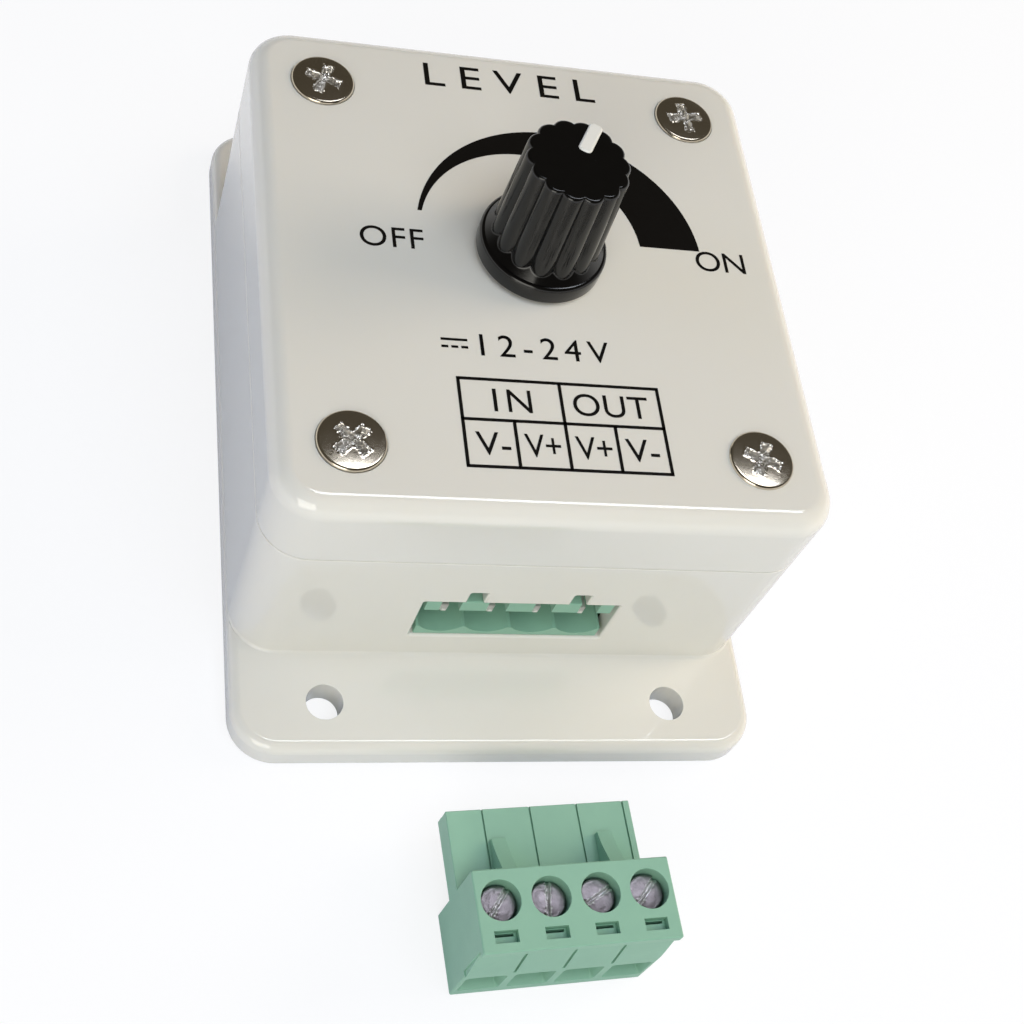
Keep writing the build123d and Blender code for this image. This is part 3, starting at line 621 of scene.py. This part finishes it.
def makeLobedTree():
    tree, given = newTree("lobedTurning", [
        ("Profile", "Object"), ("Rows", "Int"), ("Steps", "Int"), ("Lobes", "Int"), ("Lobe Radius", "Float"),
        ("Finish", "Material")])
    place = addNode(tree, "GeometryNodeInputPosition").outputs[0]
    spot = addNode(tree, "ShaderNodeSeparateXYZ", links={0: place}).outputs
    # Each profile point holds the plain radius, the lobes' crest radius and the height of its ring
    profile = addNode(tree, "GeometryNodeObjectInfo", links={"Object": given["Profile"]})
    ring = addNode(tree, "GeometryNodeSampleIndex", {"data_type": "FLOAT_VECTOR", "domain": "POINT"},
                   {"Geometry": profile.outputs["Geometry"], "Value": place})
    sizes = addNode(tree, "ShaderNodeSeparateXYZ", links={0: ring.outputs["Value"]}).outputs
    known = {"x": spot["X"], "y": spot["Y"], "plain": sizes["X"], "crest": sizes["Y"], "rows": given["Rows"],
             "steps": given["Steps"], "lobes": given["Lobes"], "lobeRadius": given["Lobe Radius"]}
    # The sums in order, each with what goes in: numbers, or the names of values that are known by then
    sums = [
        ("columns", "ADD", ("steps", 1.0)),
        ("angle", "MULTIPLY_ADD", ("x", 2 * math.pi, math.pi)),
        ("share", "ADD", ("y", 0.5)),
        ("lastRow", "SUBTRACT", ("rows", 1.0)),
        ("row", "MULTIPLY", ("share", "lastRow")),
        ("halfStep", "DIVIDE", (math.pi, "lobes")),
        ("otherHalf", "MULTIPLY", ("halfStep", -1.0)),
        ("within", "WRAP", ("angle", "halfStep", "otherHalf")),
        # Distance from the axis to an arc of the lobe's radius, centred inside its crest
        ("middle", "SUBTRACT", ("crest", "lobeRadius")),
        ("cosine", "COSINE", ("within",)),
        ("sine", "SINE", ("within",)),
        ("along", "MULTIPLY", ("middle", "cosine")),
        ("across", "MULTIPLY", ("middle", "sine")),
        ("acrossSquare", "MULTIPLY", ("across", "across")),
        ("lobeSquare", "MULTIPLY", ("lobeRadius", "lobeRadius")),
        ("rest", "SUBTRACT", ("lobeSquare", "acrossSquare")),
        ("root", "SQRT", ("rest",)),
        ("lobe", "ADD", ("along", "root")),
        ("radius", "MAXIMUM", ("plain", "lobe"))]
    for name, operation, entries in sums:
        numbers = {at: entry for at, entry in enumerate(entries) if not isinstance(entry, str)}
        sources = {at: known[entry] for at, entry in enumerate(entries) if isinstance(entry, str)}
        known[name] = addNode(tree, "ShaderNodeMath", {"operation": operation, **numbers}, sources).outputs[0]
    index = addNode(tree, "FunctionNodeFloatToInt", {"rounding_mode": "ROUND"}, {0: known["row"]})
    tree.links.new(index.outputs[0], ring.inputs["Index"])
    grid = addNode(tree, "GeometryNodeMeshGrid", {"Size X": 1.0, "Size Y": 1.0},
                   {"Vertices X": known["columns"], "Vertices Y": given["Rows"]})
    flat = addNode(tree, "ShaderNodeCombineXYZ", links={"X": known["radius"], "Z": sizes["Z"]})
    swung = addNode(tree, "ShaderNodeVectorRotate", {"rotation_type": "Z_AXIS"},
                    {"Vector": flat.outputs[0], "Angle": known["angle"]})
    shaped = addNode(tree, "GeometryNodeSetPosition", links={"Geometry": grid.outputs["Mesh"],
                                                             "Position": swung.outputs[0]})
    joined = addNode(tree, "GeometryNodeMergeByDistance", {"Distance": weld}, {"Geometry": shaped.outputs[0]})
    return endTree(tree, joined.outputs[0], given["Finish"])


def knobRows():
    bottom, crown = knobLow.z, knobHigh.z
    skirt, skirtTop, skirtRound, foot = knob["skirt"], knob["skirtTop"], knob["skirtRound"], knob["footRound"]

    def crest(height):
        share = (height - skirtTop) / (crown - skirtTop)
        return knob["gripFoot"] + (knob["gripTop"] - knob["gripFoot"]) * share

    rows = [(0.0, 0.0, knob["boreTop"]), (knob["bore"], 0.0, knob["boreTop"]), (knob["bore"], 0.0, skirtTop),
            (knob["cavity"], 0.0, skirtTop), (knob["cavity"], 0.0, bottom)]
    rows += [(skirt - foot * side, 0.0, bottom + foot * up) for side, up in quarterArc]
    rows += [(skirt - skirtRound * up, 0.0, skirtTop - skirtRound * side) for side, up in quarterArc]
    slopeTop, slopeSteps, gripSteps = knob["slopeTop"], knob["slopeSteps"], knob["gripSteps"]
    for step in range(1, slopeSteps + 1):
        height = skirtTop + (slopeTop - skirtTop) * step / slopeSteps
        radius = skirt - skirtRound + (knob["slopeRadius"] - skirt + skirtRound) * step / slopeSteps
        rows.append((radius, crest(height), height))
    edge = knob["edgeRound"]
    for step in range(1, gripSteps):
        height = slopeTop + (crown - edge - slopeTop) * step / gripSteps
        rows.append((0.0, crest(height), height))
    rows += [(0.0, crest(crown) - edge * up, crown - edge * side) for side, up in quarterArc]
    rows += [(0.0, radius, crown) for radius in knob["crownRings"]]
    return rows


def pointerSlab(grow, heights, edge):
    start, end = knob["pointerRange"]
    rows = edgeRows(*heights, knob["pointerFootEdge"], edge)
    bm = slab(knob["pointerWidth"] / 2 + grow, (end - start) / 2 + grow, knob["pointerCorner"] + grow, rows,
              knob["cornerSteps"])
    turnIt = Matrix.Rotation(math.radians(knob["pointerTurn"]), 4, "Z")
    bm.transform(Matrix.Translation(knobAxis) @ turnIt @ Matrix.Translation((0, (start + end) / 2, 0)))
    return bm


def makeKnob():
    rows = knobRows()
    bm = bmesh.new()
    for point in rows:
        bm.verts.new(point)
    profile = newPiece("knobProfile", bm)
    body = runTree("knobBody", makeLobedTree(), {
        "Profile": profile, "Rows": len(rows), "Steps": knob["lobes"] * knob["stepsPerLobe"],
        "Lobes": knob["lobes"], "Lobe Radius": knob["lobeRadius"], "Finish": finishes["knob"]})
    dropPiece(profile)
    bm = bmesh.new()
    bm.from_mesh(body.data)
    bmesh.ops.recalc_face_normals(bm, faces=bm.faces)
    # A groove between two lobes lines up with the pointer
    groovePhase = math.radians(90 + knob["pointerTurn"]) + math.pi / knob["lobes"]
    bm.transform(Matrix.Translation(knobAxis) @ Matrix.Rotation(groovePhase, 4, "Z"))
    bm.to_mesh(body.data)
    bm.free()
    foot, play = knob["pointerFoot"], knob["pointerPlay"]
    groove = pointerSlab(play, (foot, knobHigh.z + past), knob["pointerFootEdge"])
    combined(body, [newPiece("groove", groove)], "DIFFERENCE")
    finishPiece(body, "knob", finishes["knob"], ["knob"], knob["sharpAngle"])
    bar = newPiece("knobPointer", pointerSlab(0.0, (foot + play, pointerHigh.z), knob["pointerEdge"]))
    finishPiece(bar, "knob", finishes["pointer"], ["knob_pointer"])


makeKnob()
print("knob made")


# Header in the window and its pins
ways = {"count": 4, "pitch": 5.08}
header = {"wall": 3.0, "topWall": 1.9, "slot": 2.2, "slotDepth": 5.0, "slotTop": 17.0, "tray": 1.75,
          "trough": 3.0, "edge": 0.12, "axis": 11.5, "pin": 1.0, "pinHole": 1.06, "pinTip": -30.0,
          "pinTipHalf": 0.22, "pinPoint": 0.35, "pinDrop": -17.8, "pinEnd": 5.1}
headerLow, headerHigh = (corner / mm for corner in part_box("header_housing"))


def everyWay(piece, finish):
    return copies("everyWay", piece, ways["count"], 1, ways["pitch"], 0.0, finish)


def lyingRod(radius, yRange, x, z, steps=48):
    bm = turned([(radius, -yRange[1]), (radius, -yRange[0])], steps)
    bm.transform(Matrix.Translation((x, 0, z)) @ Matrix.Rotation(math.pi / 2, 4, "X"))
    return bm


def makeHeader():
    green, axis = finishes["green"], header["axis"]
    across, along = (headerLow.x, headerHigh.x), (headerLow.y, headerHigh.y)
    front, backWall = along[0] - past, along[1] - header["wall"]
    body = newPiece("headerBody", roundedBox(across, along, (headerLow.z, headerHigh.z), header["edge"]))
    hollow = plainBox((across[0] - past, across[1] + past), (front, backWall),
                      (headerLow.z + header["tray"], headerHigh.z - header["topWall"]))
    combined(body, [newPiece("hollow", hollow)], "DIFFERENCE")
    trough = newPiece("trough", lyingRod(header["trough"], (front, backWall), 0.0, axis))
    reach = header["trough"] + past
    upper = plainBox((-reach, reach), (front - past, backWall + past), (axis, axis + reach))
    combined(trough, [newPiece("upper", upper)], "DIFFERENCE")
    half = header["slot"] / 2
    slot = plainBox((-half, half), (front, along[0] + header["slotDepth"]), (axis, header["slotTop"]))
    half = header["pinHole"] / 2
    hole = plainBox((-half, half), (backWall - past, along[1] + past), (axis - half, axis + half))
    cutters = (trough, newPiece("slot", slot), newPiece("hole", hole))
    combined(body, [everyWay(cutter, green) for cutter in cutters], "DIFFERENCE")
    finishPiece(body, "case", green, ["header_housing"])
    half, tip, drop = header["pin"] / 2, header["pinTip"], header["pinDrop"]
    rings = []
    for size, y in ((header["pinTipHalf"], tip), (half, tip + header["pinPoint"]), (half, drop + half)):
        rings.append([(x * size, y, axis + up * size) for x, up in ((-1, -1), (1, -1), (1, 1), (-1, 1))])
    pin = newPiece("pin", lofted(rings))
    leg = plainBox((-half, half), (drop - half, drop + half), (header["pinEnd"], axis))
    combined(pin, [newPiece("leg", leg)], "UNION")
    pins = everyWay(pin, finishes["tin"])
    pins.name = "headerPins"
    finishPiece(pins, "case", finishes["tin"], ["header_pins"])


makeHeader()
print("header made")


# Screw plug, built square to its own front and then laid where it is
plug = {"place": (2.2, -66.5), "turn": 2.7, "half": 10.16, "depth": 8.1, "height": 13.6, "edge": 0.18,
        "mateInset": 0.5, "mateRear": 16.1, "mateTop": 8.0, "mateRoot": 0.6, "mateEdge": 0.12,
        "lobe": 2.9, "lobeTrim": 0.01, "axis": 6.3, "cusp": 4.9,
        "lip": 1.0, "lipReach": 0.6, "panelFoot": 6.3,
        "groove": 0.3, "topGroove": 0.2, "grooveDepth": 0.28, "grooveShift": 1.27, "groovePast": 0.015,
        "keyX": (-5.3, 6.0), "keyWidth": 1.5, "keyReach": 4.6, "keyHeight": 3.4, "keyEnd": 0.8,
        "keyRoot": 0.5, "keySteps": 8, "keyHollow": 1.3, "screwY": 5.0, "screwHole": 2.0, "screwRim": 0.06,
        "screwSeat": 10.9, "shankHole": 1.32, "slotSize": (2.4, 1.2, 0.9), "slotY": 1.5,
        "slit": (1.9, 0.3, 2.2), "slitSet": 0.08,
        "entryWidth": 3.6, "entryZ": (1.7, 5.2), "entryCorner": 0.12, "flare": 0.35, "flareDepth": 0.9,
        "chamber": (2.05, 2.25, 0.95, 9.05), "channel": (1.3, 1.1), "channelEnd": 0.8,
        "socket": 0.85, "socketFlare": 0.25, "socketCorner": 0.05}
plugPlace = Matrix.Translation((*plug["place"], 0)) @ Matrix.Rotation(math.radians(plug["turn"]), 4, "Z")


def keyOutline():
    # The ramp of a key falls in a hollow curve from the block to the mating half
    front, foot, root, steps = plug["depth"], plug["mateTop"], plug["keyRoot"], plug["keySteps"]
    rise = plug["keyHeight"] - plug["keyEnd"]
    points = [(front - root, foot - root), (front + plug["keyReach"], foot - root)]
    for share in (step / steps for step in range(steps + 1)):
        points.append((front + plug["keyReach"] * (1 - share),
                       foot + plug["keyEnd"] + rise * share ** plug["keyHollow"]))
    points.append((front - root, foot + plug["keyHeight"]))
    return points


def makePlug():
    green, axis, screwY, seat = finishes["green"], plug["axis"], plug["screwY"], plug["screwSeat"]
    half, depth, height, rear = plug["half"], plug["depth"], plug["height"], plug["mateRear"]
    mateAcross, mateAlong = (-half, half - plug["mateInset"]), (depth - plug["mateRoot"], rear)
    body = newPiece("plugBody", roundedBox((-half, half), (0, depth), (0, height), plug["edge"]))
    mate = newPiece("mate", roundedBox(mateAcross, mateAlong, (plug["cusp"], plug["mateTop"]),
                                       plug["mateEdge"]))
    lobes = everyWay(newPiece("lobe", lyingRod(plug["lobe"], mateAlong, 0.0, axis)), green)
    trim = plug["lobeTrim"]
    limits = plainBox((mateAcross[0] + trim, mateAcross[1] - trim), (0, rear + past), (0, axis))
    combined(lobes, [newPiece("limits", limits)], "INTERSECT", True)
    keyHalf = plug["keyWidth"] / 2
    keys = [newPiece("key", sidePrism(keyOutline(), (x - keyHalf, x + keyHalf))) for x in plug["keyX"]]
    combined(body, [mate, lobes] + keys, "UNION")
    lipUnder, foot = height - plug["lip"], plug["panelFoot"]
    slope = [(-past, lipUnder), (plug["lipReach"], lipUnder), (0, foot), (-past, foot)]
    cuts = [newPiece("wedge", sidePrism(slope, (-half - past, half + past)))]
    line = plug["groove"] / 2
    for border in range(ways["count"]):
        x = -half + border * ways["pitch"]
        groove = plainBox((x - line, x + line), (-past, plug["lipReach"]), (foot, lipUnder))
        cuts.append(newPiece("groove", groove))
    hole = drill(plug["screwHole"], seat, height, plug["screwRim"], (0, screwY))
    wide = 2 * plug["screwHole"]
    combined(hole, [newPiece("below", plainBox((-wide, wide), (0, 2 * screwY), (0, seat)))], "DIFFERENCE")
    slotX, slotY, slotDeep = plug["slotSize"]
    slotAlong = (plug["slotY"] - slotY / 2, plug["slotY"] + slotY / 2)
    slot = plainBox((-slotX / 2, slotX / 2), slotAlong, (height - slotDeep, height + past))
    # The test slot is shallow, with a slit at its rear edge that goes on to the contact
    slitX, slitY, slitDeep = plug["slit"]
    slitEnd = slotAlong[1] - plug["slitSet"]
    slit = plainBox((-slitX / 2, slitX / 2), (slitEnd - slitY, slitEnd),
                    (height - slotDeep - slitDeep, height - slotDeep / 2))
    low, high = plug["entryZ"]
    stations = [(plug["flare"], -past), (plug["flare"], 0.0), (0.0, plug["flareDepth"]), (0.0, screwY)]
    entry = tunnel(plug["entryWidth"], high - low, plug["entryCorner"], stations, (0.0, (low + high) / 2))
    wide, deep, bottom, top = plug["chamber"]
    chamber = plainBox((-wide, wide), (screwY - deep, screwY + deep), (bottom, top))
    shankHole = upright(plug["shankHole"], top - past, seat + past, (0, screwY))
    wide, tall = plug["channel"]
    channel = plainBox((-wide, wide), (screwY, rear - plug["channelEnd"]), (axis - tall, axis + tall))
    flare, side = plug["socketFlare"], 2 * plug["socket"]
    stations = [(0.0, screwY), (0.0, rear - flare), (flare, rear), (flare, rear + past)]
    socket = tunnel(side, side, plug["socketCorner"], stations, (0.0, axis))
    thin, shift, mateTop = plug["topGroove"] / 2, plug["grooveShift"], plug["mateTop"]
    topGroove = plainBox((shift - thin, shift + thin), (depth, rear + past),
                         (mateTop - plug["grooveDepth"], mateTop + plug["groovePast"]))
    cutters = [hole] + [newPiece("cutter", shape) for shape in (slot, slit, entry, chamber)]
    cutters += [shankHole] + [newPiece("cutter", shape) for shape in (channel, socket, topGroove)]
    cuts += [everyWay(cutter, green) for cutter in cutters]
    combined(body, cuts, "DIFFERENCE")
    body.data.transform(plugPlace)
    finishPiece(body, "case", green, ["plug_housing"])


terminalScrew = {"radius": 1.85, "seat": 10.9, "top": 12.5, "edge": 0.2, "crown": 0.14, "shank": 1.25,
                 "end": 5.85, "tip": 0.25, "driveLength": 6.0, "driveWidth": 0.42, "driveTurns": (90.0,),
                 "driveDepth": 0.5, "driveSlope": 0.16, "ragged": 0.12, "raggedSize": 0.4, "burr": 0.07,
                 "chips": 0.08, "dents": 0.012, "spokes": 128, "ringStep": 0.045, "sharpAngle": 50,
                 "turns": (-38.0, -8.0, -62.0, -42.0)}


def makeTerminalScrew(number, x, turn):
    node = f"terminal_screw_{number}"
    screw = screwHead(f"terminalScrew{number}", terminalScrew)
    turnIt = Matrix.Rotation(math.radians(turn), 4, "Z")
    screw.data.transform(plugPlace @ Matrix.Translation((x, plug["screwY"], 0)) @ turnIt)
    finishPiece(screw, node, finishes["zinc"], [node], terminalScrew["sharpAngle"])


makePlug()
for number, turn in enumerate(terminalScrew["turns"]):
    makeTerminalScrew(number + 1, (number - (ways["count"] - 1) / 2) * ways["pitch"], turn)
print("plug made")


# Print on the lid: dial crescent, words and terminal table
ink = {"thickness": 0.02, "sunk": 0.01, "outer": ((3.55, 3.0), 16.04), "inner": ((0.25, 3.06), 12.34),
       "thinTip": 6.1, "thickEnd": 3.65, "steps": 120, "line": 0.36, "tableX": (-10.0, 0.6, 11.2),
       "tableY": (-15.3, -20.15, -25.6), "tableCells": (-4.7, 5.9), "letterSpacing": (0.95, 1.5),
       "signBar": ((-11.3, -8.5), (-10.75, -10.45)), "signDashes": (-11.3, -10.26, -9.22), "signDash": 0.72,
       "signDashY": (-11.65, -11.35)}
words = [  # text, its x range and y range
    ("LEVEL", (-9.6, 10.6), (24.6, 28.0)), ("OFF", (-18.7, -11.9), (0.75, 3.45)),
    ("ON", (18.9, 24.7), (0.95, 3.7)), ("12-24V", (-7.2, 6.7), (-12.4, -9.7)),
    ("IN", (-6.6, -2.6), (-19.1, -16.4)), ("OUT", (1.8, 9.9), (-19.1, -16.4)),
    ("V-", (-8.9, -5.4), (-24.3, -21.6)), ("V+", (-3.9, -0.2), (-24.3, -21.6)),
    ("V+", (1.4, 5.2), (-24.3, -21.6)), ("V-", (6.7, 10.2), (-24.3, -21.6))]
inkHeights = (lidTop - ink["sunk"], lidTop + ink["thickness"])


def inkBar(xRange, yRange):
    return newPiece("inkBar", plainBox(xRange, yRange, inkHeights))


def textMesh(text, spacing):
    # Size and thickness are passing ones, since inkText fits the letters into their place
    curve = bpy.data.curves.new("inkText", "FONT")
    curve.body = text
    curve.space_character = spacing
    curve.resolution_u = 6
    curve.extrude = 0.5
    curve.size = 10
    lettering = bpy.data.objects.new("inkText", curve)
    scene.collection.objects.link(lettering)
    mesh = bpy.data.meshes.new_from_object(lettering.evaluated_get(bpy.context.evaluated_depsgraph_get()))
    bpy.data.objects.remove(lettering)
    bpy.data.curves.remove(curve)
    low = [min(v.co[axis] for v in mesh.vertices) for axis in range(3)]
    size = [max(v.co[axis] for v in mesh.vertices) - low[axis] for axis in range(3)]
    return mesh, low, size


def inkText(text, xRange, yRange):
    # Letter spacing takes up the width, so that strokes stay even
    shape = (xRange[1] - xRange[0]) / (yRange[1] - yRange[0])
    tight, wide = (textMesh(text, spacing)[2] for spacing in (1.0, 2.0))
    spacing = 1 + (shape * tight[1] - tight[0]) / (wide[0] - tight[0])
    least, most = ink["letterSpacing"]
    mesh, low, size = textMesh(text, min(max(spacing, least), most))
    for vertex in mesh.vertices:
        for axis, (start, end) in enumerate((xRange, yRange, inkHeights)):
            vertex.co[axis] = start + (vertex.co[axis] - low[axis]) / size[axis] * (end - start)
    obj = bpy.data.objects.new("inkText", mesh)
    scene.collection.objects.link(obj)
    return obj


def crescent():
    edges = []
    for (x, y), radius in (ink["outer"], ink["inner"]):
        start = math.asin((ink["thickEnd"] - y) / radius)
        end = math.pi - math.asin((ink["thinTip"] - y) / radius)
        angles = [start + (end - start) * step / ink["steps"] for step in range(ink["steps"] + 1)]
        edges.append([(x + radius * math.cos(a), y + radius * math.sin(a)) for a in angles])
    outline = edges[0] + edges[1][::-1]
    return newPiece("crescent", lofted([[(x, y, z) for x, y in outline] for z in inkHeights]))


def makePrint():
    half, left, right = ink["line"] / 2, ink["tableX"][0], ink["tableX"][-1]
    top, between, bottom = ink["tableY"]
    pieces = [crescent()]
    pieces += [inkBar((left - half, right + half), (y - half, y + half)) for y in ink["tableY"]]
    pieces += [inkBar((x - half, x + half), (bottom, top)) for x in ink["tableX"]]
    pieces += [inkBar((x - half, x + half), (bottom, between)) for x in ink["tableCells"]]
    # Direct-current sign: a bar over three dashes
    pieces.append(inkBar(*ink["signBar"]))
    pieces += [inkBar((x, x + ink["signDash"]), ink["signDashY"]) for x in ink["signDashes"]]
    pieces += [inkText(*word) for word in words]
    bm = bmesh.new()
    for piece in pieces:
        bm.from_mesh(piece.data)
        dropPiece(piece)
    finishPiece(newPiece("lidPrint", bm), "case", finishes["ink"])


makePrint()
print("print made")


# The solids that stay as they are get their finishes
nodeFinishes = {
    "board": ["circuit_board"], "zinc": ["board_screws"], "sleeve": ["filter_capacitor"],
    "epoxy": ["power_transistor", "timer_chip", "voltage_regulator", "flyback_diode"],
    "lacquer": ["disc_capacitors", "resistors"], "phenolic": ["pot_wafer", "pot_wiper"],
    "nickel": ["pot_bushing", "pot_washer", "pot_nut", "pot_case", "pot_shaft"], "insulation": ["pot_leads"],
    "tin": ["pot_terminals", "plug_contacts", "wire_clamp_1", "wire_clamp_2", "wire_clamp_3", "wire_clamp_4"]}
for finish, dressed in nodeFinishes.items():
    for nodeName in dressed:
        for slot in nodes[nodeName].material_slots:
            slot.material = finishes[finish]
print("solids dressed:", sum(len(dressed) for dressed in nodeFinishes.values()))


# Floor, light and camera
studio = {"floorSize": 3000.0, "floorDrop": 0.02, "floorPaper": "#D8DCE6", "ownLight": 0.75, "glow": 1.1,
          "shadeReach": 40.0, "shadeDepth": 4.0, "shadeSamples": 4,
          "zenith": "#4E493F", "horizon": "#FFFDF8", "dimFrom": 0.06, "dimTo": 0.46}
lamps = {
    "high": {"place": (60.0, -170.0, 480.0), "size": (380.0, 380.0), "power": 1.38, "colour": "#F1F8FF",
             "mirrored": False},
    "warm": {"place": (480.0, 60.0, 260.0), "size": (300.0, 300.0), "power": 1.55, "colour": "#FFE9CC",
             "mirrored": False},
    "left": {"place": (-220.0, -420.0, 260.0), "size": (300.0, 300.0), "power": 0.95, "colour": "#FFFCF2"},
    "cool": {"place": (-480.0, 60.0, 260.0), "size": (320.0, 320.0), "power": 0.25, "colour": "#86ABFF",
             "mirrored": False},
    "tube": {"place": (150.0, 110.0, 520.0), "size": (280.0, 100.0), "power": 0.65, "colour": "#F1F6FF",
             "lights": False}}
photo = {"place": (-53.6, -110.7, 167.3), "aim": (-6.2, -21.9, 33.1), "roll": 26.0, "lens": 60.1,
         "sensor": 36.0, "shift": (0.01, -0.075), "clipStart": 0.01}


def makeFloor():
    half = studio["floorSize"] / 2
    bm = bmesh.new()
    bm.faces.new([bm.verts.new((x * half, y * half, 0)) for x, y in ((-1, -1), (1, -1), (1, 1), (-1, 1))])
    floor = newPiece("floor", bm)
    floor.data.transform(Matrix.Translation((0, 0, -studio["floorDrop"])))
    floor.data.transform(Matrix.Scale(mm, 4))
    material = bpy.data.materials.new("paperFloor")
    material.use_nodes = True
    tree = material.node_tree
    tree.nodes.remove(tree.nodes["Principled BSDF"])
    paper = addNode(tree, "ShaderNodeBsdfDiffuse", {"Color": toLinear(studio["floorPaper"])})
    # Paper that looks white to the camera and in reflections, and still takes the shadow
    glow = addNode(tree, "ShaderNodeEmission", {"Strength": studio["glow"]})
    rays = addNode(tree, "ShaderNodeLightPath").outputs
    mirrored = addNode(tree, "ShaderNodeMath", {"operation": "MAXIMUM"},
                       {0: rays["Is Glossy Ray"], 1: rays["Is Transmission Ray"]})
    # Reflections also show the shade close under the object, as gloss plastic does
    shade = addNode(tree, "ShaderNodeAmbientOcclusion",
                    {"samples": studio["shadeSamples"], "Distance": studio["shadeReach"] * mm})
    depth = addNode(tree, "ShaderNodeMath", {"operation": "POWER", 1: studio["shadeDepth"]},
                    {0: shade.outputs["AO"]})
    shaded = addNode(tree, "ShaderNodeMath", {"operation": "MULTIPLY"},
                     {0: mirrored.outputs[0], 1: depth.outputs[0]})
    seen = addNode(tree, "ShaderNodeMath", {"operation": "MAXIMUM"},
                   {0: rays["Is Camera Ray"], 1: shaded.outputs[0]})
    share = addNode(tree, "ShaderNodeMath", {"operation": "MULTIPLY", 1: studio["ownLight"]},
                    {0: seen.outputs[0]})
    mix = addNode(tree, "ShaderNodeMixShader", links={0: share.outputs[0], 1: paper.outputs[0],
                                                      2: glow.outputs[0]})
    tree.links.new(mix.outputs[0], tree.nodes["Material Output"].inputs["Surface"])
    floor.data.materials.append(material)


def makeWorld():
    world = bpy.data.worlds.new("studio")
    world.use_nodes = True
    scene.world = world
    tree = world.node_tree
    # White at the horizon, where the camera looks past the floor, and dim above
    direction = addNode(tree, "ShaderNodeTexCoord").outputs["Generated"]
    height = addNode(tree, "ShaderNodeSeparateXYZ", links={0: direction}).outputs["Z"]
    rise = addNode(tree, "ShaderNodeMapRange", {
        "interpolation_type": "SMOOTHSTEP", "From Min": studio["dimFrom"], "From Max": studio["dimTo"]},
        {"Value": height})
    low, high = (toLinear(studio[part]) for part in ("horizon", "zenith"))
    sky = addNode(tree, "ShaderNodeMix", {"data_type": "RGBA", 6: low, 7: high}, {0: rise.outputs["Result"]})
    tree.links.new(sky.outputs[2], tree.nodes["Background"].inputs["Color"])


def makeLamp(name):
    lamp = lamps[name]
    data = bpy.data.lights.new(name, "AREA")
    data.shape = "RECTANGLE"
    data.size, data.size_y = (side * mm for side in lamp["size"])
    data.energy = lamp["power"]
    data.color = toLinear(lamp["colour"])[:3]
    obj = bpy.data.objects.new(name, data)
    obj.location = Vector(lamp["place"]) * mm
    # The tube only gives glints on edges; lamps that only light evenly aren't mirrored
    obj.visible_diffuse = lamp.get("lights", True)
    obj.visible_glossy = lamp.get("mirrored", True)
    # Facing the object, with the lamp's length level along X
    away = obj.location.normalized()
    level = (Vector((1, 0, 0)) - away * away.x).normalized()
    obj.rotation_euler = Matrix((level, away.cross(level), away)).transposed().to_euler()
    scene.collection.objects.link(obj)


def makeCamera():
    data = bpy.data.cameras.new("photoCamera")
    data.lens = photo["lens"]
    data.sensor_width = photo["sensor"]
    data.shift_x, data.shift_y = photo["shift"]
    data.clip_start = photo["clipStart"]
    obj = bpy.data.objects.new("photoCamera", data)
    place, aim = Vector(photo["place"]) * mm, Vector(photo["aim"]) * mm
    look = (aim - place).to_track_quat("-Z", "Y") @ Quaternion((0, 0, 1), math.radians(photo["roll"]))
    obj.location = place
    obj.rotation_euler = look.to_euler()
    scene.collection.objects.link(obj)
    scene.camera = obj


makeFloor()
makeWorld()
for lampName in lamps:
    makeLamp(lampName)
makeCamera()
scene.view_settings.view_transform = "Standard"
print("studio made")
